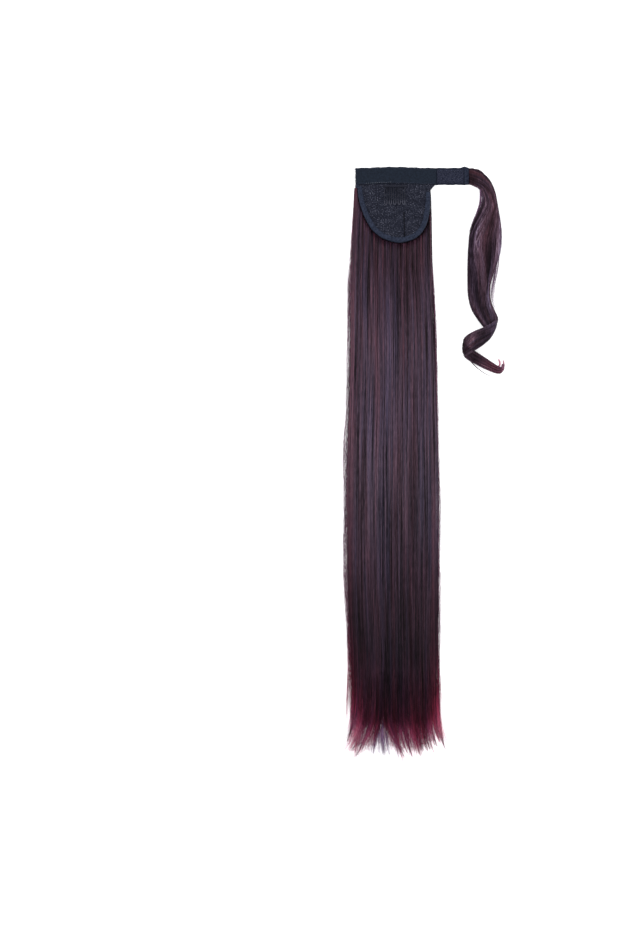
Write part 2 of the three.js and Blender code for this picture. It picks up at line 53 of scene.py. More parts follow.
# Sizes repeated from the part's source.
BAND_LEFT, BAND_RIGHT = -44.6, 88.4
BAND_WIDTH, BAND_ARCH = 20.0, 1.3
LINING_RIGHT = 50.3
HOOK_LEFT, HOOK_RIGHT = 50.6, 82.6
TAB_LEFT = 82.9
LINING_WIDTH, HOOK_WIDTH, TAB_WIDTH = 18.5, 15.5, 19.0
CAP_WIDTH, CAP_DEPTH, CAP_LIFT, CAP_FLAT = 85.0, 69.0, 15.0, 8.0
BINDING_WIDTH, CORNER_RADIUS, NET_MIDDLE = 5.5, 6.0, 2.1
COMB_TEETH, COMB_MIDDLE, COMB_PITCH, COMB_LENGTH, TOOTH_WIDTH = 5, 1.3, 5.2, 21.8, 2.6
BAND_EDGE = -BAND_WIDTH / 2
TAIL_START, TAIL_LENGTH, TAIL_WIDTH = -10.3, 676.7, 110.0
LOCK_SPREAD, LOCK_DROP, LOCK_THICK, LOCK_RISE = 43.0, 232.0, 9.0, 13.0

# The heights of the tapes' undersides and tops over the table. The tape over the lock's root
# lies as high as the lining.
LOOP_TOP = 1.3
HOOK_LOW, HOOK_TOP = 1.6, 2.7
LINING_LOW, LINING_TOP = 2.9, 3.9
# How far the net's edge lies inside its binding, and how far up that comes on the right.
HEM, BINDING_STOP = 1.3, -18.2

# The cap's edge: shares of its depth, and of half its width to the left and to the right.
CAP_EDGE = [
    (0.0, 1.0, 1.02), (0.17, 0.98, 1.02), (0.34, 0.925, 1.01), (0.5, 0.84, 0.975),
    (0.65, 0.73, 0.92), (0.77, 0.61, 0.83), (0.87, 0.44, 0.7), (0.95, 0.22, 0.5),
]
# The tail's outline: shares of its length, and of half its width to the left and to the right.
TAIL_AT = [0.0, 0.026, 0.078, 0.14, 0.17, 0.25, 0.36, 0.46, 0.57, 0.68, 0.77, 0.83, 0.88, 0.935]
TAIL_LEFT = [0.83, 0.85, 0.875, 0.885, 0.91, 0.915, 0.925, 0.985, 0.99, 0.985, 0.93, 0.89, 0.905, 0.925]
TAIL_RIGHT = [0.78, 0.805, 0.825, 0.825, 0.848, 0.9, 0.925, 0.953, 0.965, 0.965, 0.955, 0.953, 0.968, 0.985]
# Where the tips begin to turn paler, and over how much of the tail's length they do.
PALE_TIPS = (0.925, 0.03)
# Where the tail's hair starts to draw into clumps, and the clumps: the middle of each at that
# place, where its tip is across the tail, and where along it.
PARTING = 0.912
CLUMPS = np.array(
    [
        (-0.98, -1.03, 0.962), (-0.91, -1.05, 0.968), (-0.83, -1.12, 0.979),
        (-0.73, -1.0, 0.984), (-0.63, -0.94, 0.98), (-0.53, -0.84, 0.99), (-0.43, -0.76, 0.98),
        (-0.33, -0.68, 0.99), (-0.22, 0.02, 0.97), (-0.13, 0.12, 0.985), (-0.05, 0.2, 0.996),
        (0.03, 0.25, 1.004), (0.13, 0.34, 0.99), (0.24, 0.43, 0.994), (0.36, 0.53, 0.992),
        (0.48, 0.62, 0.982), (0.6, 0.74, 0.986), (0.7, 0.87, 0.988), (0.8, 0.94, 0.974),
        (0.9, 1.03, 0.98), (0.97, 1.15, 0.984),
    ]
)
# Lines along the tail that are darker, painted shade where the hair parts, or lighter, partly
# painted highlights and partly lighter, redder fibres: where each is across the tail in millimetres
# at its upper and lower end, those ends as shares of the tail's length, half its width in
# millimetres, and how much it shifts the tone and the tint.
TONE_LINES = [
    (-28.2, -31.7, 0.07, 0.235, 0.7, -1.2, 0.0),
    (-26.0, -28.0, 0.14, 0.3, 2.4, 0.25, -0.1),
    (-27.0, -27.2, 0.22, 0.29, 0.8, -0.6, 0.0),
    (3.6, 4.2, 0.1, 0.25, 0.8, -0.4, 0.0),
    (8.1, 8.3, 0.1, 0.15, 0.7, -0.45, 0.0),
    (15.9, 15.2, 0.09, 0.2, 0.8, -0.5, 0.0),
    (22.9, 22.5, 0.08, 0.18, 0.8, -0.5, 0.0),
    (-2.3, -2.6, 0.24, 0.29, 0.6, -0.25, 0.0),
    (38.8, 38.9, 0.22, 0.28, 0.8, -0.5, 0.0),
    (24.0, 23.2, 0.32, 0.37, 0.7, -0.4, 0.0),
    (-34.7, -34.7, 0.44, 0.52, 1.0, -0.5, 0.1),
    (-7.0, -6.8, 0.58, 0.88, 2.6, -0.3, 0.25),
    (7.0, 7.2, 0.58, 0.88, 2.6, -0.28, 0.2),
    (33.5, 33.0, 0.5, 0.85, 2.5, -0.2, 0.0),
    (-46.0, -48.0, 0.0, 0.2, 4.0, 0.3, -0.4),
    (-49.5, -52.0, 0.15, 0.9, 4.2, 0.2, -0.5),
    (-20.5, -20.0, 0.14, 0.5, 3.6, 0.2, -0.4),
    (-13.5, -17.0, 0.2, 0.42, 1.2, 0.25, -0.1),
    (-7.5, -7.5, 0.2, 0.55, 4.0, 0.0, 0.25),
    (-4.5, -4.5, 0.21, 0.33, 3.5, 0.25, -0.1),
    (0.5, 0.0, 0.55, 0.85, 2.2, 0.12, -0.1),
    (21.5, 21.0, 0.3, 0.9, 2.6, 0.15, -0.2),
    (36.0, 35.0, 0.18, 0.6, 4.5, -0.05, 0.3),
    (40.4, 41.0, 0.23, 0.36, 0.8, 0.4, 0.0),
    (4.6, 4.9, 0.3, 0.4, 0.6, 0.3, 0.0),
    (25.0, 19.0, 0.25, 0.45, 1.5, 0.15, 0.0),
    (51.5, 52.5, 0.38, 0.95, 2.8, 0.36, -0.35),
    (46.6, 46.0, 0.47, 0.93, 3.4, 0.4, -0.3),
    (-52.3, -51.5, 0.5, 0.93, 3.2, 0.5, -0.3),
    (-49.0, -51.5, 0.2, 0.5, 3.0, 0.15, -0.2),
]
# Where the wavy lock's slit runs, as a share of its width.
SLIT_LANE = 0.31
# The wavy lock's sections: inner and outer edge, as shares of its spread past the band's end and
# of its drop below the band's centre line, then its thickness and height as shares, and its slit.
LOCK_ROWS = [
    (0.17, 0.053, 0.24, -0.038, 0.45, 0.0, 0.0),
    (0.29, 0.062, 0.53, 0.008, 0.65, 0.0, 0.0),
    (0.34, 0.094, 0.7, 0.068, 0.8, 0.0, 0.0),
    (0.37, 0.133, 0.77, 0.133, 0.9, 0.0, 0.0),
    (0.19, 0.205, 0.84, 0.205, 1.0, 0.0, 0.03),
    (0.03, 0.276, 0.89, 0.276, 1.0, 0.0, 0.09),
    (-0.02, 0.362, 0.88, 0.362, 1.0, 0.0, 0.1),
    (-0.04, 0.443, 0.77, 0.443, 1.0, 0.0, 0.06),
    (-0.04, 0.524, 0.61, 0.524, 0.95, 0.0, 0.0),
    (-0.03, 0.6, 0.56, 0.59, 0.9, 0.0, 0.0),
    (0.06, 0.671, 0.62, 0.648, 0.9, 0.0, 0.0),
    (0.25, 0.729, 0.74, 0.694, 0.85, 0.02, 0.0),
    (0.44, 0.772, 0.8, 0.727, 0.8, 0.15, 0.0),
    (0.65, 0.788, 0.69, 0.737, 0.75, 0.55, 0.0),
    (0.57, 0.823, 0.44, 0.765, 0.75, 0.95, 0.0),
    (0.36, 0.858, 0.14, 0.785, 0.75, 1.0, 0.0),
    (0.17, 0.881, -0.12, 0.815, 0.75, 0.85, 0.0),
    (-0.11, 0.912, -0.15, 0.845, 0.7, 0.45, 0.0),
    (0.04, 0.937, 0.08, 0.874, 0.65, 0.05, 0.0),
    (0.4, 0.972, 0.44, 0.917, 0.55, 0.0, 0.0),
    (0.7, 0.995, 0.75, 0.955, 0.45, 0.0, 0.0),
    (0.87, 0.998, 0.88, 0.967, 0.35, 0.0, 0.0),
    (0.97, 0.975, 0.89, 0.961, 0.25, 0.0, 0.0),
    (0.97, 0.95, 0.91, 0.949, 0.15, 0.0, 0.0),
]
# How far the lock's strands swing across it as it waves: places along it, and shifts as shares of
# its width.
LOCK_SWING = [
    (0.0, 0.0), (0.09, -0.2), (0.21, 0.2), (0.31, -0.2), (0.42, 0.2), (0.52, 0.02),
    (0.6, -0.12), (0.7, 0.12), (0.8, -0.1), (0.9, 0.0), (1.0, 0.0),
]
# Painted highlights and painted shade on the wavy lock, where its waves turn to the light and away
# from it: place along it, place across it, how fast that changes along it, half length, half width,
# and how much each shifts the tone and the tint.
LOCK_PAINTED_LIGHT = [
    (0.04, 0.4, 0.0, 0.04, 0.6, -0.4, -0.3),
    (0.13, 0.5, 0.0, 0.05, 0.6, -0.18, 0.0),
    (0.36, 0.75, 0.0, 0.16, 0.5, 0.14, 0.1),
    (0.075, 0.78, 0.0, 0.03, 0.15, 0.1, -0.3),
    (0.125, 0.58, 10.0, 0.035, 0.2, 0.1, 0.3),
    (0.155, 0.58, 6.4, 0.04, 0.06, -0.4, 0.0),
    (0.17, 0.48, 5.5, 0.055, 0.1, 0.16, -0.3),
    (0.185, 0.05, 0.0, 0.03, 0.08, 0.3, 0.2),
    (0.3, 0.13, 0.0, 0.11, 0.12, -0.32, 0.4),
    (0.28, 0.15, -0.3, 0.06, 0.02, 0.3, 0.2),
    (0.29, 0.285, 0.0, 0.07, 0.05, 0.55, 0.2),
    (0.29, 0.4, 0.0, 0.07, 0.06, 0.12, -0.3),
    (0.25, 0.62, -5.0, 0.03, 0.1, -0.35, 0.0),
    (0.285, 0.55, -4.5, 0.02, 0.08, 0.25, -0.3),
    (0.38, 0.6, 3.8, 0.05, 0.07, 0.25, -0.3),
    (0.335, 0.7, 0.0, 0.04, 0.09, -0.5, 0.2),
    (0.37, 0.76, 2.5, 0.03, 0.07, -0.4, 0.2),
    (0.325, 0.9, 0.0, 0.045, 0.07, 0.35, 0.0),
    (0.43, 0.4, 0.8, 0.035, 0.08, -0.4, 0.3),
    (0.5, 0.62, 0.8, 0.04, 0.15, -0.2, 0.25),
    (0.48, 0.88, 0.0, 0.03, 0.07, 0.35, 0.0),
    (0.415, 0.2, -3.0, 0.04, 0.03, 0.5, 0.1),
    (0.49, 0.14, 0.4, 0.06, 0.09, 0.35, -0.4),
    (0.565, 0.6, 0.0, 0.016, 0.25, -0.5, 0.1),
    (0.61, 0.5, 0.0, 0.028, 0.6, 0.2, 0.5),
    (0.66, 0.6, 0.0, 0.02, 0.35, -0.35, 0.3),
    (0.71, 0.58, -12.5, 0.03, 0.18, 0.6, -0.5),
    (0.755, 0.6, 0.0, 0.02, 0.4, -0.3, 0.0),
    (0.78, 0.6, 12.0, 0.02, 0.2, 0.4, -0.4),
    (0.81, 0.5, 0.0, 0.025, 0.5, -0.35, 0.3),
    (0.85, 0.3, 0.0, 0.014, 0.3, 0.4, -0.3),
    (0.868, 0.7, 0.0, 0.016, 0.3, 0.3, -0.8),
    (0.89, 0.5, 0.0, 0.012, 0.5, -0.35, 0.0),
    (0.96, 0.6, 0.0, 0.05, 0.6, 0.3, 0.1),
    (0.2, 0.8, 0.0, 0.07, 0.12, 0.1, -0.1),
    (0.32, 0.97, 0.0, 0.06, 0.05, 0.45, 0.2),
    (0.15, 0.02, 0.0, 0.06, 0.05, 0.5, 0.3),
]


# ---- Materials


def hex_colour(code):
    """The linear colour of an sRGB hex value."""
    parts = [int(code[i : i + 2], 16) / 255 for i in (1, 3, 5)]
    linear = [c / 12.92 if c <= 0.04045 else ((c + 0.055) / 1.055) ** 2.4 for c in parts]
    return (*linear, 1.0)


def node(tree, kind, inputs=None, stops=None, **settings):
    """Adds a node with its settings, and gives each input a value or the output it is linked to."""
    made = tree.nodes.new(kind)
    for name, value in settings.items():
        setattr(made, name, value)
    for name, value in (inputs or {}).items():
        if isinstance(value, bpy.types.NodeSocket):
            tree.links.new(value, made.inputs[name])
        else:
            made.inputs[name].default_value = value
    for i, (place, code) in enumerate(stops or []):
        elements = made.color_ramp.elements
        stop = elements[i] if i < 2 else elements.new(place)
        stop.position = place
        stop.color = hex_colour(code)
    return made


def material(name, roughness, specular=0.5):
    """A material with its shader, and the node tree that its colour and bump are added to."""
    made = bpy.data.materials.new(name)
    made.use_nodes = True
    tree = made.node_tree
    tree.nodes.clear()
    values = {"Roughness": roughness, "Specular IOR Level": specular}
    shader = node(tree, "ShaderNodeBsdfPrincipled", values)
    node(tree, "ShaderNodeOutputMaterial", {"Surface": shader.outputs["BSDF"]})
    return made, tree, shader


def join(tree, shader, colour, height=None, depth=0.1):
    """Links a colour, and a height in the range 0 to 1 that is depth millimetres deep."""
    tree.links.new(colour, shader.inputs["Base Color"])
    if height is not None:
        bump = {"Height": height, "Distance": depth * MM, "Strength": 1.0}
        made = node(tree, "ShaderNodeBump", bump)
        tree.links.new(made.outputs["Normal"], shader.inputs["Normal"])


# Colours of the dyed hair from root to tip, each at its brightest. On the tail the lighter stretch
# from about 0.28 to 0.56 is partly the dye and partly a painted highlight where the lamps fall,
# and the darker stretch near 0.1 is partly painted shade just under the cap.
TAIL_DYE_AND_PAINTED_LIGHT = [
    (0.0, "#573d49"), (0.1, "#503a46"), (0.18, "#5c4a57"), (0.28, "#675662"), (0.4, "#6c5c6a"),
    (0.48, "#6b5c68"), (0.56, "#615460"), (0.64, "#554653"), (0.72, "#463641"),
    (0.8, "#382934"), (0.86, "#432735"), (0.9, "#502636"), (0.925, "#6c2d41"),
    (0.945, "#973f5c"), (0.965, "#c25e82"), (1.0, "#ea94b2"),
]
LOCK_DYE = [
    (0.0, "#9a828f"), (0.3, "#a88fa1"), (0.55, "#a492a3"), (0.72, "#a08fa0"), (0.82, "#957b8b"),
    (0.88, "#a8758a"), (0.94, "#c48aa2"), (1.0, "#dcaabf"),
]
# A single fibre lets light through, so the loose ones look paler and pinker than the mass.
FINE_DYE = [
    (0.0, "#94607c"), (0.5, "#8c6680"), (0.8, "#8c5a74"), (0.92, "#b05674"), (0.97, "#c97690"),
    (1.0, "#d8a0b4"),
]
# What each fibre keeps of that: near black for the painted shade in the partings and inside the
# hair, then plum and mauve, up to rose and white for painted highlights.
TAIL_TONES = [
    (0.0, "#454248"), (0.25, "#86808a"), (0.5, "#b3adb8"), (0.7, "#c0bcca"), (0.85, "#dbd0dd"),
    (1.0, "#fff0f8"),
]
LOCK_TONES = [
    (0.0, "#2e2529"), (0.25, "#54474d"), (0.5, "#786970"), (0.7, "#95858e"), (0.85, "#bcaeb6"),
    (1.0, "#ffffff"),
]
FINE_TONES = [(0.0, "#4a4248"), (0.5, "#aea6ac"), (1.0, "#ffffff")]
# The hue of each fibre, from wine red to blue grey: partly the dye taking unevenly from fibre to
# fibre, partly a painted blue-grey sheen where the fibres catch the light.
TINTS = [(0.0, "#ffdfdd"), (0.5, "#fbfafa"), (1.0, "#dfefff")]


def hair_fibre(name, colours, tones):
    # Heat-resistant polyester fibre, drawn smooth through a spinneret and dip-dyed: a satin sheen
    # along its length, mauve brown at the root and burgundy at the tip, in broken streaks about
    # 0.9 mm wide and 9 mm long, which is coarser than the fibres, so that they show.
    # Its lightness and hue per fibre carry painted highlights, painted shade and a painted blue-grey sheen,
    # as well as the fibres' own uneven colour.
    made, tree, shader = material(name, 0.4, 0.08)
    place = node(tree, "ShaderNodeUVMap", uv_map="fibre")
    split = node(tree, "ShaderNodeSeparateXYZ", {"Vector": place.outputs["UV"]})
    dye = node(tree, "ShaderNodeValToRGB", {"Fac": split.outputs["Y"]}, colours)
    spot = node(tree, "ShaderNodeTexCoord")
    drawn = {"Vector": spot.outputs["Object"], "Scale": (1 / (0.9 * MM), 1 / (9 * MM), 0.0)}
    streaks = node(tree, "ShaderNodeMapping", drawn)
    fine = {"Vector": streaks.outputs["Vector"], "Scale": 1.0, "Detail": 2.0}
    grain = node(tree, "ShaderNodeTexNoise", fine)
    mixed = {0: grain.outputs["Fac"], 1: 0.9, 2: split.outputs["X"]}
    level = node(tree, "ShaderNodeMath", mixed, operation="MULTIPLY_ADD")
    even = node(tree, "ShaderNodeMath", {0: level.outputs[0], 1: 0.45}, operation="SUBTRACT")
    tone = node(tree, "ShaderNodeValToRGB", {"Fac": even.outputs[0]}, tones)
    both = {0: 1.0, 6: dye.outputs["Color"], 7: tone.outputs["Color"]}
    shaded = node(tree, "ShaderNodeMix", both, data_type="RGBA", blend_type="MULTIPLY")
    uneven = node(tree, "ShaderNodeUVMap", uv_map="uptake")
    uptake = node(tree, "ShaderNodeSeparateXYZ", {"Vector": uneven.outputs["UV"]})
    tint = node(tree, "ShaderNodeValToRGB", {"Fac": uptake.outputs["X"]}, TINTS)
    both = {0: 1.0, 6: shaded.outputs[2], 7: tint.outputs["Color"]}
    colour = node(tree, "ShaderNodeMix", both, data_type="RGBA", blend_type="MULTIPLY")
    join(tree, shader, colour.outputs[2])
    return made


def woven(name, dark, light, thread, depth, roughness):
    """A cloth of crossed threads, or a thread of twisted fibres, which lie thread millimetres
    apart: two crossed sets of waves, and uneven patches over them."""
    made, tree, shader = material(name, roughness, 0.08)
    place = node(tree, "ShaderNodeTexCoord")
    size = 1 / (thread * MM)
    scaled = {"Vector": place.outputs["Object"], "Scale": (size, size, size)}
    mapped = node(tree, "ShaderNodeMapping", scaled).outputs["Vector"]
    waves = [
        node(
            tree,
            "ShaderNodeTexWave",
            {"Vector": mapped, "Scale": 0.5, "Distortion": 1.2, "Detail": 1.0},
            bands_direction=axis,
        )
        for axis in ("X", "Y")
    ]
    fibres = dict(enumerate(wave.outputs["Fac"] for wave in waves))
    weave = node(tree, "ShaderNodeMath", fibres, operation="MULTIPLY")
    patches = node(tree, "ShaderNodeTexNoise", {"Vector": mapped, "Scale": 0.4, "Detail": 5.0})
    mixed = {0: weave.outputs[0], 1: 0.3, 2: patches.outputs["Fac"]}
    level = node(tree, "ShaderNodeMath", mixed, operation="MULTIPLY_ADD")
    stops = [(0.4, dark), (0.75, light)]
    colour = node(tree, "ShaderNodeValToRGB", {"Fac": level.outputs[0]}, stops)
    join(tree, shader, colour.outputs["Color"], weave.outputs[0], depth)
    return made


def cap_mesh():
    # Stretch tulle of fine nylon yarn, knitted in rows and soft: dark blue grey, with pale flecks
    # where the yarn's loops catch the light. The knit is drawn at 1.4 mm, coarse enough to show.
    made, tree, shader = material("knitted_nylon_tulle", 0.8, 0.08)
    place = node(tree, "ShaderNodeTexCoord")
    size = 1 / (1.4 * MM)
    scaled = {"Vector": place.outputs["Object"], "Scale": (1.0 * size, 1.7 * size, 0.0)}
    mapped = node(tree, "ShaderNodeMapping", scaled).outputs["Vector"]
    loops = node(tree, "ShaderNodeTexNoise", {"Vector": mapped, "Scale": 1.0, "Detail": 1.0})
    patches = node(tree, "ShaderNodeTexNoise", {"Vector": mapped, "Scale": 0.13, "Detail": 2.0})
    part = node(tree, "ShaderNodeMath", {0: patches.outputs["Fac"], 1: 0.2}, operation="MULTIPLY")
    both = {0: loops.outputs["Fac"], 1: 0.8, 2: part.outputs[0]}
    level = node(tree, "ShaderNodeMath", both, operation="MULTIPLY_ADD")
    stops = [(0.4, "#0f111a"), (0.5, "#191b26"), (0.59, "#272936"), (0.68, "#5c5e6b")]
    colour = node(tree, "ShaderNodeValToRGB", {"Fac": level.outputs[0]}, stops)
    join(tree, shader, colour.outputs["Color"], loops.outputs[0], 0.3)
    return made


def comb_wire():
    # Spring steel wire under dark glossy lacquer, dark at the bar. The ends of the loops are drawn
    # dull grey in patches: a painted glint where they catch the light.
    made, tree, shader = material("lacquered_spring_wire", 0.3, 0.15)
    place = node(tree, "ShaderNodeTexCoord")
    split = node(tree, "ShaderNodeSeparateXYZ", {"Vector": place.outputs["Object"]})
    span = {0: split.outputs["Y"], 1: -0.0275, 2: -0.0295, 3: 0.0, 4: 1.0}
    tip_glint = node(tree, "ShaderNodeMapRange", span)
    glint_patches = node(tree, "ShaderNodeTexNoise", {"Scale": 900.0})
    both = {0: tip_glint.outputs[0], 1: glint_patches.outputs["Fac"]}
    level = node(tree, "ShaderNodeMath", both, operation="MULTIPLY")
    stops = [(0.0, "#1a1c27"), (0.25, "#2b2d38"), (0.6, "#4f505c")]
    colour = node(tree, "ShaderNodeValToRGB", {"Fac": level.outputs[0]}, stops)
    join(tree, shader, colour.outputs["Color"])
    return made


def backlit_acrylic():
    # A light table's sheet of white acrylic, lit from below: pale, even and almost shadowless.
    made, tree, shader = material("backlit_white_acrylic", 0.9, 0.1)
    glow = node(tree, "ShaderNodeTexNoise", {"Scale": 3.0})
    stops = [(0.0, "#f4f4f6"), (1.0, "#ffffff")]
    colour = node(tree, "ShaderNodeValToRGB", {"Fac": glow.outputs["Fac"]}, stops)
    join(tree, shader, colour.outputs["Color"])
    tree.links.new(colour.outputs["Color"], shader.inputs["Emission Color"])
    shader.inputs["Emission Strength"].default_value = 0.35
    return made


TAIL_FIBRE = hair_fibre("dip_dyed_polyester_fibre", TAIL_DYE_AND_PAINTED_LIGHT, TAIL_TONES)
LOCK_FIBRE = hair_fibre("curled_dip_dyed_polyester_fibre", LOCK_DYE, LOCK_TONES)
FINE_FIBRE = hair_fibre("single_loose_polyester_fibre", FINE_DYE, FINE_TONES)
TULLE = cap_mesh()
WIRE = comb_wire()
# Brushed nylon loop tape: soft raised loops that scatter light, dark and dull.
LOOP_PILE = woven("brushed_nylon_loop_tape", "#131724", "#2d3242", 0.9, 0.2, 0.95)
# Satin-faced polyester tape: close fine threads, an even dark blue with a faint sheen.
SATIN = woven("satin_polyester_tape", "#0d131d", "#1a222f", 0.7, 0.03, 0.6)
# Moulded nylon hook tape on a woven ground: greyer than the satin, speckled by its hooks.
HOOK_GROUND = woven("woven_nylon_hook_ground", "#131623", "#2b2e3f", 0.9, 0.15, 0.7)
# Soft polyester ribbon, folded over and sewn: matte and slightly blue.
RIBBON = woven("folded_polyester_ribbon", "#171c29", "#2e3445", 0.8, 0.08, 0.75)
# Spun polyester sewing thread, much lighter than the tape that it holds.
THREAD = woven("spun_polyester_thread", "#5d6272", "#a0a3ae", 0.5, 0.02, 0.6)
# The same thread dyed nearly to the tape's colour, round the hook patch and along the top.
DIM_THREAD = woven("tape_coloured_thread", "#2c3040", "#4b5062", 0.5, 0.02, 0.6)
# Extruded nylon monofilament, cut into hooks: nearly smooth, and it catches the light.
MONOFILAMENT = woven("nylon_monofilament_hook", "#3c4054", "#6b6f84", 0.5, 0.01, 0.4)
# The same thread in near black, along the dart, where it also stands for painted shade in the dart's fold.
DARK_THREAD = woven("dark_spun_polyester_thread", "#0a0b10", "#14151c", 0.5, 0.02, 0.6)


# ---- Making and placing pieces


def place(name, mesh, finish, slot, *replaced):
    """Makes a mesh a piece of the hairpiece, and hides the nodes that it stands for."""
    mesh.materials.append(finish)
    made = bpy.data.objects.new(name, mesh)
    bpy.context.scene.collection.objects.link(made)
    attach(made, "root")
    if replaced:
        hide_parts(*replaced)
    return made


def mesh_of(name, bm):
    """A smooth mesh from a bmesh in millimetres, with its faces turned outwards."""
    bmesh.ops.recalc_face_normals(bm, faces=bm.faces)
    bmesh.ops.scale(bm, vec=(MM, MM, MM), verts=bm.verts)
    for face in bm.faces:
        face.smooth = True
    mesh = bpy.data.meshes.new(name)
    bm.to_mesh(mesh)
    bm.free()
    return mesh


def doubled(bm):
    """Makes a closed body of a sheet, and returns the corners of its second face."""
    made = bmesh.ops.extrude_face_region(bm, geom=bm.faces[:])["geom"]
    return [g for g in made if isinstance(g, bmesh.types.BMVert)]


def soften(bm, edges, offset):
    """Rounds edges, offset millimetres to each side of them."""
    shape = {"offset_type": "OFFSET", "segments": 2, "profile": 0.5, "affect": "EDGES"}
    bmesh.ops.bevel(bm, geom=edges, offset=offset, material=-1, **shape)


def sweep(name, rings):
    """A closed tube: a circle set on the first ring, then extruded from ring to ring."""
    bm = bmesh.new()
    ring = bmesh.ops.create_circle(bm, segments=len(rings[0]), radius=1)["verts"]
    for vert, point in zip(ring, rings[0]):
        vert.co = point
    bm.faces.new(ring)
    for points in rings[1:]:
        edges = [bm.edges.get((a, b)) for a, b in zip(ring, ring[1:] + ring[:1])]
        made = bmesh.ops.extrude_edge_only(bm, edges=edges)["geom"]
        fresh = {g for g in made if isinstance(g, bmesh.types.BMVert)}
        ring = [next(v for e in r.link_edges if (v := e.other_vert(r)) in fresh) for r in ring]
        for vert, point in zip(ring, points):
            vert.co = point
    bm.faces.new(ring)
    return mesh_of(name, bm)


def rise(value, start, span, top=1):
    """0 up to start, then growing by 1 for each span, up to top."""
    return np.clip((value - start) / span, 0, top)


def taper(value, end, span, least):
    """1, then falling over the last span before end, down to least."""
    return np.clip((end - value) / span, least, 1)


def vary(count, low, high):
    """A random number for each of count strands."""
    return draw.uniform(low, high, (count, 1))


def run_along(points):
    """How far along a line each of its points lies."""
    steps = np.linalg.norm(np.diff(points, axis=0), axis=1)
    return np.concatenate([[0], np.cumsum(steps)])


def unit(vectors):
    return vectors / np.linalg.norm(vectors, axis=-1, keepdims=True)


def tubes(name, paths, radius, tone, along, sides=3, up=(0.0, 0.0, 1.0), tint=0.5):
    """Many thin closed tubes as one mesh. paths holds each tube's points. radius, tone, along and
    tint are its radius, lightness, place on the dyed hair and hue at each point."""
    count, steps, _ = paths.shape
    radius = np.broadcast_to(radius, (count, steps))
    tangent = unit(np.gradient(paths, axis=1))
    side = unit(np.cross(tangent, np.broadcast_to(up, paths.shape)))
    over = np.cross(side, tangent)
    angles = np.pi / 2 + 2 * np.pi * np.arange(sides) / sides
    ring = side[:, :, None] * np.cos(angles)[:, None] + over[:, :, None] * np.sin(angles)[:, None]
    points = (paths[:, :, None] + radius[:, :, None, None] * ring) * MM
    index = np.arange(count * steps * sides).reshape(count, steps, sides)
    near, far = index[:, :-1], index[:, 1:]
    corners = (near, far, np.roll(far, -1, axis=2), np.roll(near, -1, axis=2))
    quads = np.stack(corners, axis=-1).reshape(-1, 4)
    ends = np.concatenate([index[:, 0], index[:, -1, ::-1]])
    mesh = bpy.data.meshes.new(name)
    mesh.from_pydata(points.reshape(-1, 3), [], quads.tolist() + ends.tolist(), shade_flat=False)
    corner = np.empty(len(mesh.loops), np.int32)
    mesh.loops.foreach_get("vertex_index", corner)
    tone = tone if np.ndim(tone) == 2 else tone[:, None]
    for layer_name, across, down in [("fibre", tone, along), ("uptake", tint, 0.5)]:
        pair = [np.broadcast_to(value, (count, steps)) for value in (across, down)]
        flat = np.stack(pair, axis=-1).reshape(-1, 2)[corner // sides]
        layer = mesh.uv_layers.new(name=layer_name)
        layer.data.foreach_set("uv", flat.astype(np.float32).ravel())
    return mesh


def catmull(points, places):
    """Points of a smooth curve through others, at places counted in points."""
    points = np.asarray(points, float)
    last = len(points) - 1
    places = np.clip(places, 0, last - 1e-9)
    low = places.astype(int)
    t = (places - low)[..., None]
    before, start = points[np.maximum(low - 1, 0)], points[low]
    end, after = points[low + 1], points[np.minimum(low + 2, last)]
    pull, bend = end - before, 2 * before - 5 * start + 4 * end - after
    return start + 0.5 * t * (pull + t * (bend + t * (3 * (start - end) + after - before)))


def noise_line(places, waves, seed):
    """A smooth wandering number for each place, from a few waves of given lengths."""
    source = np.random.default_rng(seed)
    total = np.zeros_like(places)
    for length, size in waves:
        total += size * np.sin(2 * np.pi * (places / length + source.random()))
    return total


# ---- The camera and the light


def camera():
    """The camera high above the table, so that a pixel spans what it does in the photograph."""
    middle = [(PHOTO_SIZE[i] / 2 - ORIGIN_PIXEL[i]) * PIXEL * MM for i in (0, 1)]
    height = 3.0
    seen = PHOTO_SIZE[1] * PIXEL * MM
    data = bpy.data.cameras.new("camera")
    data.sensor_width = 36.0
    data.lens = data.sensor_width * height / seen
    made = bpy.data.objects.new("camera", data)
    made.location = (middle[0], -middle[1], height)
    bpy.context.scene.collection.objects.link(made)
    bpy.context.scene.camera = made


def lights():
    """An even white sky, and two large soft lamps aimed at the upper half of the hairpiece."""
    world = bpy.data.worlds.new("studio")
    world.use_nodes = True
    sky = world.node_tree.nodes["Background"].inputs
    sky["Color"].default_value = (1.0, 1.0, 1.0, 1.0)
    sky["Strength"].default_value = 0.85
    bpy.context.scene.world = world
    for name, spot, size, power in [
        ("key", (-1.2, 0.9, 2.4), 1.6, 38.0),
        ("fill", (1.4, -0.6, 2.2), 1.8, 22.0),
    ]:
        data = bpy.data.lights.new(name, "AREA")
        data.size, data.energy = size, power
        made = bpy.data.objects.new(name, data)
        made.location = spot
        aim = Vector((0.0, -0.3, 0.0)) - made.location
        made.rotation_euler = aim.to_track_quat("-Z", "Y").to_euler()
        bpy.context.scene.collection.objects.link(made)
    bpy.context.scene.view_settings.view_transform = "Standard"


def floor():
    """A sheet that reaches past the picture from any side, just under the hairpiece."""
    bm = bmesh.new()
    bmesh.ops.create_grid(bm, x_segments=1, y_segments=1, size=20000)
    bmesh.ops.translate(bm, vec=(0, -300, -0.2), verts=bm.verts)
    made = bpy.data.objects.new("floor", mesh_of("floor", bm))
    made.data.materials.append(backlit_acrylic())
    bpy.context.scene.collection.objects.link(made)


camera()
lights()
floor()


# ---- The band: loop tape, lining, hook patch and the tab over the lock's root


def band_middle(x):
    """The height in plan of the band's centre line, which bows up over the cap."""
    along = np.clip(x / (CAP_WIDTH / 2), -1, 1)
    return BAND_ARCH * (1 + np.cos(np.pi * along)) / 2


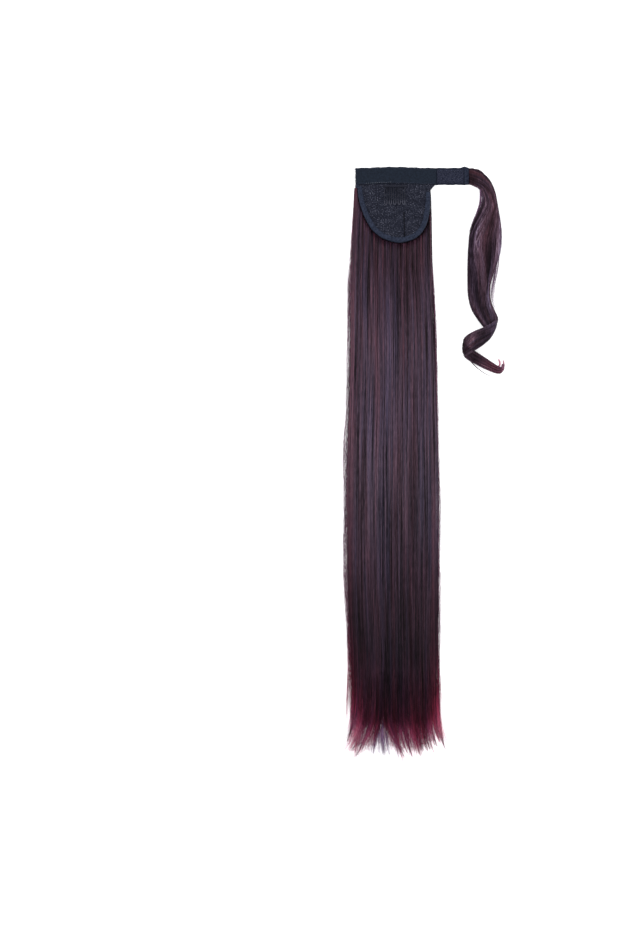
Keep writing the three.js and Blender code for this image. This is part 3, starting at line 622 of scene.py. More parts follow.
def tape(name, left, right, width, low, top, ripple, bump=0.0):
    """A flat tape along the band with rounded edges and a slightly uneven outline, which a bump
    raises where the lock's root is sewn on."""
    bm = bmesh.new()
    bmesh.ops.create_grid(bm, x_segments=96, y_segments=8, size=1)
    for vert in bm.verts:
        x = left + (right - left) * (vert.co.x + 1) / 2
        side = vert.co.y * width / 2
        edge = abs(vert.co.y) ** 6
        sway = ripple * (math.sin(x * 0.41 + side) + 0.6 * math.sin(x * 0.97 + 1.3 * side))
        wave = 0.5 * ripple * math.sin(x * 0.23) * math.sin(side * 0.3)
        lump = bump * edge * math.exp(-(((x - TAB_LEFT) / 3.2) ** 2)) if side > 0 else 0.0
        vert.co = (x, band_middle(x) + side + sway * edge * 0.5 + lump, low + wave)
    bmesh.ops.translate(bm, vec=(0, 0, top - low), verts=doubled(bm))
    bmesh.ops.recalc_face_normals(bm, faces=bm.faces)
    rim = [e for e in bm.edges if len(e.link_faces) == 2 and e.calc_face_angle() > 1.2]
    soften(bm, rim, 0.3 * (top - low))
    return mesh_of(name, bm)


def band():
    """The four tapes."""
    outer = tape("loop_tape_cloth", BAND_LEFT, BAND_RIGHT, BAND_WIDTH, 0.0, LOOP_TOP, 0.4, 1.6)
    loop = place("loop_tape_cloth", outer, LOOP_PILE, "loop_tape", "loop_tape")
    lining_heights = (LINING_LOW, LINING_TOP)
    inner = tape("band_lining_satin", BAND_LEFT, LINING_RIGHT, LINING_WIDTH, *lining_heights, 0.4)
    lining = place("band_lining_satin", inner, SATIN, "lining_satin", "band_lining")
    ground = tape("hook_patch_ground", HOOK_LEFT, HOOK_RIGHT, HOOK_WIDTH, HOOK_LOW, HOOK_TOP, 0.08)
    patch = place("hook_patch_ground", ground, HOOK_GROUND, "hook_tape", "hook_patch")
    over = tape("lock_root_cover", TAB_LEFT, BAND_RIGHT, TAB_WIDTH, *lining_heights, 0.2, 1.9)
    place("lock_root_cover", over, LOOP_PILE, "loop_tape", "lock_root_tab")


def stitch_row(name, starts, ends, height, thread=THREAD, half=0.19, slot="loop_tape"):
    """A row of short thread stitches between points in plan, at a height for each or for all."""
    share = np.linspace(0, 1, 7)
    flat = starts[:, None] + (ends - starts)[:, None] * share[:, None]
    arch = np.reshape(height, (-1, 1)) + 0.22 * np.sin(np.pi * share) ** 0.5 - 0.1
    paths = np.dstack([flat, np.broadcast_to(arch, flat.shape[:2])])
    tone = draw.random(len(starts))
    radius = half * np.sin(np.pi * np.clip(share, 0.08, 0.92)) ** 0.4
    place(name, tubes(name, paths, radius, tone, share, 5), thread, slot)


# The middle and half the length of the part of the lower seam whose stitches are drawn pale; along the rest
# of it they are drawn nearly in the tape's colour.
PALE_STITCHES = (-19.0, 15.8)


def band_stitches():
    """The seams along the lining and the hook patch, and the two across the band."""
    pitch, length = 2.6, 1.8
    lining = (BAND_LEFT + 1.5, LINING_RIGHT - 1.0, LINING_WIDTH / 2 - 0.8, LINING_TOP)
    patch = (HOOK_LEFT + 0.6, HOOK_RIGHT - 0.6, HOOK_WIDTH / 2 - 0.7, HOOK_TOP)
    rows = [(*row, way) for row in (lining, patch) for way in (-1, 1)]
    for i, (left, right, side, height, way) in enumerate(rows):
        x = np.arange(left, right - length, pitch)
        near = np.column_stack([x, band_middle(x) + way * side])
        far = np.column_stack([x + length, band_middle(x + length) + way * side])
        if i:
            stitch_row(f"band_stitches_{i + 1}", near, far, height, DIM_THREAD)
            continue
        pale = np.abs(x - PALE_STITCHES[0]) < PALE_STITCHES[1]
        far[pale, 0] -= draw.uniform(0.2, 0.9, pale.sum())
        stitch_row("band_stitches_1", near[pale], far[pale], height, half=0.16)
        stitch_row("band_stitches_5", near[~pale], far[~pale], height, DIM_THREAD)
    seams = [(HOOK_LEFT + 0.7, 7.0, HOOK_TOP), (TAB_LEFT + 1.0, 8.6, LINING_TOP)]
    for i, (x, half, height) in enumerate(seams):
        y = np.arange(-half, half - length, pitch)
        near = np.column_stack([np.full_like(y, x), y])
        stitch_row(f"cross_stitches_{i + 1}", near, near + (0, length), height, DIM_THREAD)


def frayed_ends():
    """Short threads that stand out of the cut left end of the tapes."""
    count, share = 46, np.linspace(0, 1, 6)
    y = vary(count, -9.5, 9.5) + draw.normal(0, 0.5, (count, 1)) * share**2
    x = BAND_LEFT + 0.8 - vary(count, 1.2, 2.3) * share
    z = vary(count, 0.5, 3.6) + 0.4 * np.sin(share * 3)
    radius = 0.13 * (1.1 - 0.5 * share)
    mesh = tubes("frayed_threads", np.dstack([x, y, z]), radius, draw.random(count), share, 4)
    place("frayed_threads", mesh, SATIN, "loop_tape")


def hooks():
    """The hook field: short bent monofilaments in rows, drawn at 1.5 mm so that they show."""
    pitch = 1.5
    x = np.arange(HOOK_LEFT + 1.8, HOOK_RIGHT - 0.8, pitch)
    y = np.arange(-HOOK_WIDTH / 2 + 1.9, HOOK_WIDTH / 2 - 1.4, pitch * 0.8)
    base = np.stack(np.meshgrid(x, y), axis=-1).reshape(-1, 2)
    base += draw.uniform(-0.25, 0.25, base.shape)
    turn = np.linspace(0, 1.25 * np.pi, 7)
    lean = draw.choice([-1.0, 1.0], len(base))[:, None]
    paths = np.empty((len(base), len(turn), 3))
    paths[..., 0] = base[:, :1] + lean * 0.38 * (1 - np.cos(turn))
    paths[..., 1] = base[:, 1:] + 0.05 * turn
    paths[..., 2] = HOOK_TOP - 0.1 + 0.6 * np.sin(turn * 0.8) ** 0.8
    tone = draw.random(len(base))
    mesh = tubes("hook_field", paths, 0.1, tone, turn / 4, 4, up=(0.0, 1.0, 0.0))
    place("hook_field", mesh, MONOFILAMENT, "hook_tape")


# ---- The cap: net, binding and comb


def net_height(x, y):
    """The height of the middle of the net over the table: level by the band, then dished."""
    down = np.clip((BAND_EDGE - CAP_FLAT - y) / (CAP_DEPTH - CAP_FLAT), 0, 1)
    across = np.clip(x / (CAP_WIDTH / 2), -1, 1)
    low = CAP_LIFT * down**2
    rim = CAP_LIFT * np.sin(down * np.pi / 2) ** 1.15
    return NET_MIDDLE + low + (rim - low) * across**2


def cap_edge(steps):
    """Points of the outside of the binding in plan, and the directions that point inwards."""
    half = CAP_WIDTH / 2
    left = [(-l * half, BAND_EDGE - d * CAP_DEPTH) for d, l, _ in CAP_EDGE]
    right = [(r * half, BAND_EDGE - d * CAP_DEPTH) for d, _, r in reversed(CAP_EDGE)]
    lowest = (0.15 * half, BAND_EDGE - CAP_DEPTH)
    through = [*left, lowest, *right]
    fine = catmull(through, np.linspace(0, len(through) - 1, 400))
    run = run_along(fine)
    even = np.linspace(0, run[-1], steps)
    points = np.column_stack([np.interp(even, run, fine[:, i]) for i in (0, 1)])
    tangent = unit(np.gradient(points, axis=0))
    return points, np.column_stack([-tangent[:, 1], tangent[:, 0]])


def dart_x(y):
    """Where the dart runs down the cap's free side."""
    return 12.3 - 0.02 * (y + 60)


def wrinkles(x, y):
    """Small slack waves of the cap's cloth, and the dart sewn down its free side."""
    slack = 0.35 * np.sin(x * 0.33 + 0.05 * y) * np.sin(y * 0.21 + 1.0)
    slack += 0.2 * np.sin(x * 0.71 - y * 0.46) + 0.15 * np.sin(x * 0.2 + y * 0.9)
    dart = np.exp(-(((x - dart_x(y)) / 0.9) ** 2))
    return slack - 1.1 * rise(-y, 38, 10) * dart


def cap_cloth():
    """The net: a grid of cloth drawn in to the cap's edge row by row, then given its thickness."""
    edge, inward = cap_edge(400)
    inner = edge + HEM * inward
    foot = inner[:, 1].argmin()
    left, right = inner[: foot + 1], inner[foot:]
    lowest, top = inner[foot, 1] + 0.15, BAND_EDGE + 16.5
    bm = bmesh.new()
    bmesh.ops.create_grid(bm, x_segments=60, y_segments=90, size=1)
    for vert in bm.verts:
        down = math.sin((1 - vert.co.y) * math.pi / 4)
        y = top + (lowest - top) * down
        x_left = np.interp(-y, -left[:, 1], left[:, 0])
        x_right = np.interp(y, right[:, 1], right[:, 0])
        into = taper(-y, 1.3 * CORNER_RADIUS - BAND_EDGE, 1.3 * CORNER_RADIUS, 0.0)
        x_right += HEM * min(1.0, 4 * into) + CORNER_RADIUS * into**1.6
        x = x_left + (x_right - x_left) * (vert.co.x + 1) / 2
        vert.co = (x, y, net_height(x, y) + wrinkles(x, y) * rise(-y, 9, 14))
    made = place("cap_tulle", mesh_of("cap_tulle", bm), TULLE, "cap_mesh", "cap_net")
    wall = made.modifiers.new("thickness", "SOLIDIFY")
    wall.thickness, wall.offset = 0.6 * MM, 0.0


def dart_seam():
    """Dark stitches down the dart in the net, thick and near black: the seam's thread together with painted
    shade along the dart's fold.
    """
    y = np.arange(-42.0, -75.0, -1.4)
    near = np.column_stack([dart_x(y), y])
    height = net_height(dart_x(y), y) + 0.15
    stitch_row("dart_stitches", near, near + (0.1, -1.3), height, DARK_THREAD, 0.6, "cap_mesh")


def binding():
    """The ribbon folded over the cap's edge: a flap above, the fold and a flap below."""
    edge, inward = cap_edge(150)
    keep = (edge[:, 0] < 0) | (edge[:, 1] < BINDING_STOP)
    keep[:2] = False
    edge, inward = edge[keep], inward[keep]
    # The ribbon's section: how far in from the edge each corner lies, and how far above the net.
    width = BINDING_WIDTH
    upper = [(width, 0.75), (width, 1.35), (0.8 * width, 1.6), (0.5 * width, 1.7)]
    upper += [(0.2 * width, 1.65), (0.06 * width, 1.2), (0.0, 0.4)]
    lower = [(a, -b) for a, b in reversed(upper)]
    inner = [(width * 0.9, -0.6), (0.3 * width, -0.8), (0.2 * width, 0.0), (0.3 * width, 0.8)]
    inset, off = np.transpose([*upper, *lower, *inner, (width * 0.9, 0.6)])
    # The net's slopes, from its heights half a millimetre to both sides.
    foot = edge + HEM * inward
    ways = np.array([(0.5, 0.0), (0.0, 0.5)])
    slopes = [net_height(*(foot + way).T) - net_height(*(foot - way).T) for way in ways]
    normal = unit(np.column_stack([-slopes[0], -slopes[1], np.ones(len(foot))]))
    waves = [(4.1, 0.12), (2.7, 0.1), (7.9, 0.14), (13.0, 0.12)]
    pucker = noise_line(run_along(edge), waves, 5)[:, None]
    across = inset + 0.4 * pucker * (inset > width / 2)
    spots = edge[:, None] + inward[:, None] * across[..., None]
    near = (net_height(spots[..., 0], spots[..., 1]) + net_height(*foot.T)[:, None]) / 2
    lift = off + pucker * np.abs(off) / 1.7
    rings = np.dstack([spots, near]) + normal[:, None] * lift[..., None]
    made = place("cap_ribbon", sweep("cap_ribbon", rings), RIBBON, "binding_ribbon", "cap_binding")


def ribbon_tuck():
    """The end of that ribbon, folded under the left end of the band."""
    size, spot = (3.8, 4.2, 1.1), (-42.3, -11.6, 2.2)
    bm = bmesh.new()
    bmesh.ops.create_cube(bm, size=1)
    bmesh.ops.scale(bm, vec=size, verts=bm.verts)
    soften(bm, bm.edges[:], 0.4)
    bmesh.ops.subdivide_edges(bm, edges=bm.edges[:], cuts=2, use_grid_fill=True)
    for vert in bm.verts:
        vert.co.y += 0.25 * math.sin(2.1 * vert.co.x)
        vert.co.z += 0.12 * math.sin(1.7 * vert.co.x + 2.3 * vert.co.y)
    bmesh.ops.translate(bm, vec=spot, verts=bm.verts)
    place("ribbon_tuck", mesh_of("ribbon_tuck", bm), RIBBON, "binding_ribbon")


def comb():
    """Narrow wire loops, all bent from one wire, with their roots in a bound bar."""
    half, root = TOOTH_WIDTH / 2, BAND_EDGE - 1.6
    seat = float(net_height(COMB_MIDDLE + COMB_TEETH * COMB_PITCH / 2, root)) + 2.0
    to_last = (COMB_TEETH - 1) * COMB_PITCH / 2
    straight = np.linspace(0, 1 - half / COMB_LENGTH, 12)
    bend = np.linspace(0, np.pi, 9)[1:-1]
    leg = np.full(len(straight), half)
    across = np.concatenate([-leg, -half * np.cos(bend), leg])
    tip = straight[-1] + half / COMB_LENGTH * np.sin(bend)
    down = np.concatenate([straight, tip, straight[::-1]])
    height = seat + 2.2 * np.sin(0.62 * np.pi * down)
    for i in range(COMB_TEETH):
        x = COMB_MIDDLE - to_last + i * COMB_PITCH + across
        path = np.column_stack([x, root - down * COMB_LENGTH, height])
        share = np.linspace(0, 1, len(path))
        name = f"comb_loop_{i + 1}"
        place(name, tubes(name, path[None], 0.36, np.zeros(1), share, 10), WIRE, "comb_wire")
    bar = to_last + half + 1.4
    angles = np.linspace(0, 2 * np.pi, 12, endpoint=False)
    rings = []
    for k, x in enumerate(np.linspace(COMB_MIDDLE - bar, COMB_MIDDLE + bar, 60)):
        swell = 1.0 + 0.08 * (k % 2)
        y, z = root + 1.2 * swell * np.cos(angles), seat + 0.95 * swell * np.sin(angles)
        rings.append(np.column_stack([np.full_like(y, x), y, z]))
    place("comb_bar", sweep("comb_bar", rings), WIRE, "comb_wire", "comb")


# ---- The hair


# The grid of places, a few millimetres past the tail, at which heights are measured.
GRID = 1.5
GRID_X = np.arange(-63.0, 67.0, GRID)
GRID_Y = np.arange(-689.0, -8.0, GRID)


def height_map(*names):
    """The height of some CAD nodes over the table, on the grid."""
    points, faces = [], []
    for name in names:
        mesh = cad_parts[name].data
        faces += [[i + len(points) for i in p.vertices] for p in mesh.polygons]
        points += [v.co.copy() for v in mesh.vertices]
    tree = BVHTree.FromPolygons(points, faces)
    down = Vector((0, 0, -1))
    rows = []
    for y in GRID_Y:
        hits = [tree.ray_cast(Vector((x * MM, y * MM, 1)), down)[0] for x in GRID_X]
        rows.append([hit.z / MM if hit else 0.0 for hit in hits])
    return np.array(rows)


def sample(grid, x, y):
    """A grid's value between its points."""
    fx = np.clip((x - GRID_X[0]) / GRID, 0, len(GRID_X) - 1.001)
    fy = np.clip((y - GRID_Y[0]) / GRID, 0, len(GRID_Y) - 1.001)
    ix, iy = fx.astype(int), fy.astype(int)
    tx, ty = fx - ix, fy - iy
    low = grid[iy, ix] * (1 - tx) + grid[iy, ix + 1] * tx
    high = grid[iy + 1, ix] * (1 - tx) + grid[iy + 1, ix + 1] * tx
    return low * (1 - ty) + high * ty


def tail_x(across, at):
    """The place in millimetres of a share across the tail, -1 to 1, at a share of its length."""
    left = -np.interp(at, TAIL_AT, TAIL_LEFT) * TAIL_WIDTH / 2
    right = np.interp(at, TAIL_AT, TAIL_RIGHT) * TAIL_WIDTH / 2
    return (left + right) / 2 + across * (right - left) / 2


def tail_y(at):
    return TAIL_START - at * TAIL_LENGTH


HAIR_TOP = height_map("tail_hair")
CAP_OVER = height_map("cap_net", "cap_binding", "loop_tape")


def start_places(across):
    """Where each strand comes out from under the cap, as a share of the tail's length."""
    at = np.arange(0.0, 0.13, 0.0015)
    covered = sample(CAP_OVER, tail_x(across[:, None], at), tail_y(at)) > 1.0
    last = np.where(covered, at, 0.0).max(axis=1)
    first = np.where(across < -0.7, 0.005, 0.0)
    return np.where(last > 0.004, last + 0.001, first)


# The width of a fine clump as a share of half the tail's, and for each how far its tip stands
# aside and how far down its clump it reaches.
FINE_CLUMP = 0.05
FINE_TIPS = np.column_stack([draw.normal(0, 0.02, 44), draw.uniform(0.78, 1.06, 44)])


def into_clumps(across, at, pull=1.0):
    """Draws strands together towards the tips of the clumps below the parting. Each clump falls
    into finer ones, with tips of their own. Returns the strands' lanes and their clumps' ends."""
    owner = np.abs(across[:, :1] - CLUMPS[None, :, 0]).argmin(axis=1)
    middle, tip, end = CLUMPS[owner].T
    fine = np.clip(((across[:, 0] + 1.1) / FINE_CLUMP).astype(int), 0, len(FINE_TIPS) - 1)
    centre = (fine + 0.5) * FINE_CLUMP - 1.1
    shift, reach = FINE_TIPS[fine].T
    end = PARTING + (end - PARTING) * reach
    way = rise(at, PARTING, end[:, None] - PARTING, 1.15)
    spread = 0.45 * (centre - middle) + shift
    target = (tip + spread)[:, None] + 0.35 * (across - centre[:, None])
    return across + pull * (target - across) * way**1.9, end


def bundle_field(across, at, width, length, seed):
    """A random number for each bundle of strands width millimetres wide, which changes slowly
    along it, over shares of the tail's length."""
    source = np.random.default_rng(seed)
    bundles = int(2.6 * TAIL_WIDTH / 2 / width) + 2
    grid = source.random((bundles, int(1.2 / length) + 4))
    offset = source.random(bundles)
    index = np.clip((across + 1.3) * TAIL_WIDTH / 2 / width, 0, bundles - 1).astype(int)
    way = np.clip(at, 0, 1.1) / length + offset[index]
    low = way.astype(int)
    blend = way - low
    blend = blend * blend * (3 - 2 * blend)
    return grid[index, low] * (1 - blend) + grid[index, low + 1] * blend


def bundles(across, at, layers):
    """Layers of such fields, each with its width, length, seed and how much it differs."""
    fields = [(share, bundle_field(across, at, *field)) for *field, share in layers]
    return sum(share * (field - 0.5) for share, field in fields)


def tail_finish(across, at):
    """How light the hair is and its tint: by its bundles, and by the lines along the tail, which hold
    painted shade and painted highlights.
    """
    x = tail_x(across, at)
    tone, tint = np.zeros_like(x), np.zeros_like(x)
    for top_x, foot_x, top, foot, half, lighter, bluer in TONE_LINES:
        window = np.clip(np.minimum(at - top, foot - at) / 0.02 + 1, 0, 1)
        middle = top_x + (foot_x - top_x) * rise(at, top, foot - top)
        line = window * np.exp(-(((x - middle) / half) ** 2))
        tone += lighter * line
        tint += bluer * line
    tone += bundles(across, at, [(0.85, 0.06, 3, 1.25), (2.2, 0.11, 4, 0.35), (5.5, 0.3, 5, 0.2)])
    tint += bundles(across, at, [(1.3, 0.06, 15, 0.9), (4.5, 0.2, 16, 0.6)])
    tone += draw.normal(0, 0.15, (len(x), 1)) + draw.normal(0, 0.1, x.shape)
    return np.clip(0.49 + tone, 0, 1), np.clip(0.5 + tint, 0, 1)


def tail_place(across, at, puff):
    """Points of the tail's hair, swaying a little, at a height over its surface."""
    lane_x = tail_x(across, at)
    phase = 2 * np.pi * bundle_field(across[:, :1], 0 * across[:, :1], 2.3, 1.0, 7)
    sway = 0.35 * np.sin(2 * np.pi * at * 3.1 + phase)
    sway += 0.25 * np.sin(2 * np.pi * at * 7.3 + 2 * phase)
    sway += 0.3 * np.sin(2 * np.pi * at * 5 + vary(len(at), 0, 6.3))
    x = lane_x + sway * rise(at, 0, 0.15)
    y = tail_y(at)
    return np.dstack([x, y, sample(HAIR_TOP, x, y) + puff])


def dye_place(across, at):
    """Where a point lies on the dyed hair: the edges are dipped a little deeper."""
    deeper = 0.06 * rise(np.abs(across), 0.66, 0.34) + 0.008 * rise(-across, 0.35, 0.3)
    return at - 0.012 + deeper + draw.normal(0, 0.012, (len(at), 1))


def feathering(across, at):
    """How much thinner the hair is drawn towards the tail's two edges, most of all low down."""
    low = np.where(across < 0, rise(at, 0.55, 0.2), 0.0)
    return 1 - rise(np.abs(across), 0.92, 0.05) * (0.4 * rise(at, 0.06, 0.06) + 0.35 * low)


def strands(name, points, radius, tone, along, tint, finish=TAIL_FIBRE, up=(0.0, 0.0, 1.0)):
    """A piece made of many strands, none of which goes down into the table."""
    points[..., 2] = np.maximum(points[..., 2], radius + 0.05)
    mesh = tubes(name, points, radius, tone, along, up=up, tint=tint)
    place(name, mesh, finish, "hair_fibre")


def tail_strands(name, count, low, high):
    """Strands of the tail between two places across it, from the cap to their tips. Leaders are
    the few that follow their clump to its end. The others stop on the way there."""
    across = np.sort(draw.uniform(low, high, count))
    start = start_places(across)[:, None]
    wave = (1 - np.cos(np.pi * np.linspace(0, 1, 14))) / 2
    _, end = into_clumps(across[:, None], PARTING)
    leader = draw.random(count) < np.where(across < -0.3, 0.08, 0.12)
    reach = 0.08 + 0.82 * draw.random(count) ** np.where(across < -0.3, 2.2, 1.6)
    end = PARTING + (end - PARTING) * np.where(leader, draw.uniform(0.78, 1.05, count), reach)
    at = start + (end[:, None] - start) * wave
    pull = np.clip(draw.normal(0.8, 0.25, (count, 1)), 0.1, 1.15)
    pull = np.where(leader[:, None], 1.12, pull)
    straight = np.broadcast_to(across[:, None], at.shape)
    lane, _ = into_clumps(straight, at, pull)
    stray = np.where(leader, 0.006, 0.035)[:, None] * draw.normal(0, 1, (count, 1))
    lane = lane + stray * rise(at, 0.88, 0.1, 1.2)
    radius = 0.21 * vary(count, 0.75, 1.25) * taper(wave, 1.0, 0.09, 0.33)
    radius = radius * feathering(straight, at)
    deep = np.where(draw.random(count) < 0.3, -draw.uniform(0.3, 2.5, count), 0.0)[:, None]
    puff = 0.9 * bundle_field(straight, at, 1.3, 0.2, 9) + vary(count, -0.4, 0.3)
    points = tail_place(lane, at, (puff + deep) * rise(at, 0, 0.03))
    tone, tint = tail_finish(straight, at)
    paler = rise(at, *PALE_TIPS) * np.where(leader, 0.3, 1.0)[:, None]
    dye = dye_place(lane, at) + 0.01 * paler
    strands(name, points, radius, tone + 0.15 * paler, dye, tint - 0.1 * paler)


def tip_strands(name, count):
    """Short fine fibres that feather the tail's lower end."""
    across = np.sort(draw.uniform(-1.0, 1.0, count))
    share = np.linspace(0, 1, 6)
    straight = np.broadcast_to(across[:, None], (count, len(share)))
    _, end = into_clumps(straight, PARTING)
    start = vary(count, 0.84, 0.9)
    end = (0.92 + (end - 0.92) * 1.06 * draw.random(count) ** 1.4)[:, None]
    at = start + (end - start) * share
    lane, _ = into_clumps(straight, at, vary(count, 0.05, 1.1))
    fan = draw.normal(0, 0.07, (count, 1)) + 0.07 * across[:, None]
    lane = lane + fan * rise(at, 0.9, 0.08, 1.2) ** 1.5
    radius = vary(count, 0.06, 0.13) * taper(share, 1.02, 0.7, 0.5)
    points = tail_place(lane, at, vary(count, -0.5, 1.2))
    tone, tint = tail_finish(straight, at)
    paler = rise(at, *PALE_TIPS)
    dye = dye_place(lane, at) + 0.03 * paler
    strands(name, points, radius, tone + 0.3 * paler, dye, tint - 0.1 * paler)


def edge_strands(name, count):
    """Loose fine fibres along the tail's two edges, most of them on the left, thinner outwards."""
    side = np.where(draw.random(count) < 0.68, -1.0, 1.0)[:, None]
    start = np.where(side < 0, vary(count, 0.03, 0.8), vary(count, 0.12, 0.86))
    share = np.linspace(0, 1, 9)
    at = start + vary(count, 0.06, 0.16) * share
    high = np.clip((start + 0.03) / 0.16, 0.3, 1)
    reach = high * np.where(side < 0, 6.5, 1.8 + 3.2 * start) * draw.random((count, 1)) ** 1.15
    out = reach * np.sin(np.pi * np.minimum(share, 0.8)) ** 0.6 - 0.9
    out = out + 0.35 * np.sin(share * 19 + vary(count, 0, 6.3))
    across = side * (1 + 2 * out / TAIL_WIDTH)
    height = 0.4 + 3.0 * draw.random((count, 1)) + 0 * at
    points = np.dstack([tail_x(across, at), tail_y(at), height])
    radius = vary(count, 0.07, 0.13) * taper(share, 1.05, 0.3, 0.4)
    tone = np.clip(draw.normal(0.6, 0.25, count), 0, 1)
    tint = np.clip(draw.normal(0.4, 0.3, (count, 1)), 0, 1)
    strands(name, points, radius, tone, at + 0.03, tint, FINE_FIBRE)


def tail_core():
    """The inside of the tail, drawn dark as painted shade, which shows between the strands."""
    bm = bmesh.new()
    columns, rows = 80, 90
    bmesh.ops.create_grid(bm, x_segments=columns, y_segments=rows, size=1)
    around = [np.roll(HAIR_TOP, shift, axis) for shift in (-1, 1) for axis in (0, 1)]
    low = np.minimum.reduce([HAIR_TOP, *around])
    u, v = np.array([vert.co[:2] for vert in bm.verts]).T
    ragged = 0.915 + 0.02 * noise_line(u, [(0.13, 0.5), (0.31, 0.6), (0.07, 0.4)], 11)
    at = ragged * ((1 - v) / 2) ** 1.6
    x, y = tail_x((0.985 - 0.045 * rise(at, 0, 0.1)) * u, at), tail_y(at)
    z = np.maximum((sample(low, x, y) - 0.6) * taper(at, ragged, 0.08, 0) ** 0.7, 0.35)
    shade = np.random.default_rng(13).random(columns + 2) * 0.35
    tone = shade[np.rint((u + 1) / 2 * columns).astype(int)]
    fibre = bm.loops.layers.uv.new("fibre")
    uptake = bm.loops.layers.uv.new("uptake")
    for vert, light, dye, *point in zip(bm.verts, tone, at, x, y, z):
        vert.co = point
        for loop in vert.link_loops:
            loop[fibre].uv = (light, dye)
            loop[uptake].uv = (0.5, 0.5)
    for vert in doubled(bm):
        vert.co.z = 0.05
    mesh = mesh_of("tail_under_hair", bm)
    place("tail_under_hair", mesh, TAIL_FIBRE, "hair_fibre", "tail_hair")


def lock_edges(places):
    """Points of the wavy lock's two edges at shares of its length, its half thickness and slit."""
    half, flat, height = 9.0, 1.0, 2.1
    root = [(x, -half, x, half, flat, height, 0.0) for x in (TAB_LEFT + 1.0, BAND_RIGHT + 0.3)]
    ix, iy, ox, oy, thick, lift, slit = np.transpose(LOCK_ROWS)
    thick = thick * LOCK_THICK
    inner_x, outer_x = BAND_RIGHT + ix * LOCK_SPREAD, BAND_RIGHT + ox * LOCK_SPREAD
    middle = thick / 2 + lift * LOCK_RISE
    rows = np.transpose([inner_x, -iy * LOCK_DROP, outer_x, -oy * LOCK_DROP, thick, middle, slit])
    found = catmull([*root, *rows], places * (len(root) + len(rows) - 1))
    return found[..., [0, 1, 5]], found[..., [2, 3, 5]], found[..., 4] / 2, np.maximum(found[..., 6], 0)


def lock_points(places, across, level):
    """Points in the lock, at shares of its length and width, and a level from -1 to 1 in it."""
    inner, outer, half, slit = lock_edges(places)
    lane = np.where(across < SLIT_LANE, across * (SLIT_LANE - slit) / SLIT_LANE, across)
    step = 0.004
    ahead = lock_edges(np.clip(places + step, 0, 1))
    behind = lock_edges(np.clip(places - step, 0, 1))
    along = (ahead[0] + ahead[1] - behind[0] - behind[1]) / 2
    up = unit(np.cross(outer - inner, along))
    round_off = np.sqrt(np.clip(1 - (2 * lane - 1) ** 2, 0.02, 1))
    middle = inner + (outer - inner) * lane[..., None]
    return middle + up * (level * half * round_off)[..., None], up


def lock_finish(across, at, lane):
    """How light the lock's hair is and its tint: by its bundles, and by the painted highlights and painted
    shade of its waves.
    """
    tone, tint = np.zeros_like(at), np.zeros_like(at)
    for middle, side, slope, length, width, lighter, bluer in LOCK_PAINTED_LIGHT:
        off = lane - side - slope * (at - middle)
        light = np.exp(-(((at - middle) / length) ** 2) - (off / width) ** 2)
        tone += lighter * light
        tint += bluer * light
    tone += bundles(across / 2.2, at, [(0.8, 0.12, 31, 0.45), (2.4, 0.2, 32, 0.35)])
    tint += bundles(across / 2.2, at, [(1.5, 0.15, 33, 0.8)])
    tone += draw.normal(0, 0.09, (len(at), 1))
    return np.clip(0.39 + tone, 0, 1), np.clip(0.62 + tint, 0, 1)


def lock_strands(name, count):
    """Strands of the lock, which swing from side to side of it as it waves."""
    across = np.sort(draw.random(count))[:, None]
    level = vary(count, -0.95, 1.0)
    end = 1.0 - 0.22 * draw.random((count, 1)) ** 2.5
    share = np.linspace(0, 1, 26)
    at = 0.02 + (end - 0.02) * share
    swing = np.interp(at, *np.transpose(LOCK_SWING)) * 4 * across * (1 - across)
    phase = 2 * np.pi * draw.random((count, 1))
    lane = across + swing + 0.02 * np.sin(2 * np.pi * at * 1.7 + phase)
    lane = np.clip(lane + 0.02 * np.sin(2 * np.pi * at * 3.9 + 2 * phase), 0.0, 1.0)
    points, up = lock_points(at, lane, level)
    radius = 0.19 * vary(count, 0.7, 1.25) * taper(share, 1.02, 0.15, 0.3)
    tone, tint = lock_finish(across + 0 * at, at, lane)
    strands(name, points, radius, tone, at, tint, LOCK_FIBRE, up)


def slit_strands(name, count):
    """Thin fibres that show in the lock's slit, drawn pale and blue-grey: a painted sheen on thin fibres.
    """
    at = vary(count, 0.17, 0.24) + 0.32 * np.linspace(0, 1, 16)
    near, _ = lock_points(at, 0.275, 0.35)
    far, _ = lock_points(at, 0.33, 0.0)
    blend = draw.random((count, 1)) + 0.12 * np.sin(at * 25 + vary(count, 0, 6.3))
    points = near + (far - near) * np.clip(blend, 0, 1)[..., None]
    tone = np.clip(draw.normal(0.72, 0.15, count), 0, 1)
    strands(name, points, 0.16, tone, 0.4, 0.95, FINE_FIBRE)


def on_table(pixels):
    """Places on the table, in millimetres, of places in the photograph."""
    pixels = np.asarray(pixels, float)
    return (pixels - ORIGIN_PIXEL) * (PIXEL, -PIXEL)


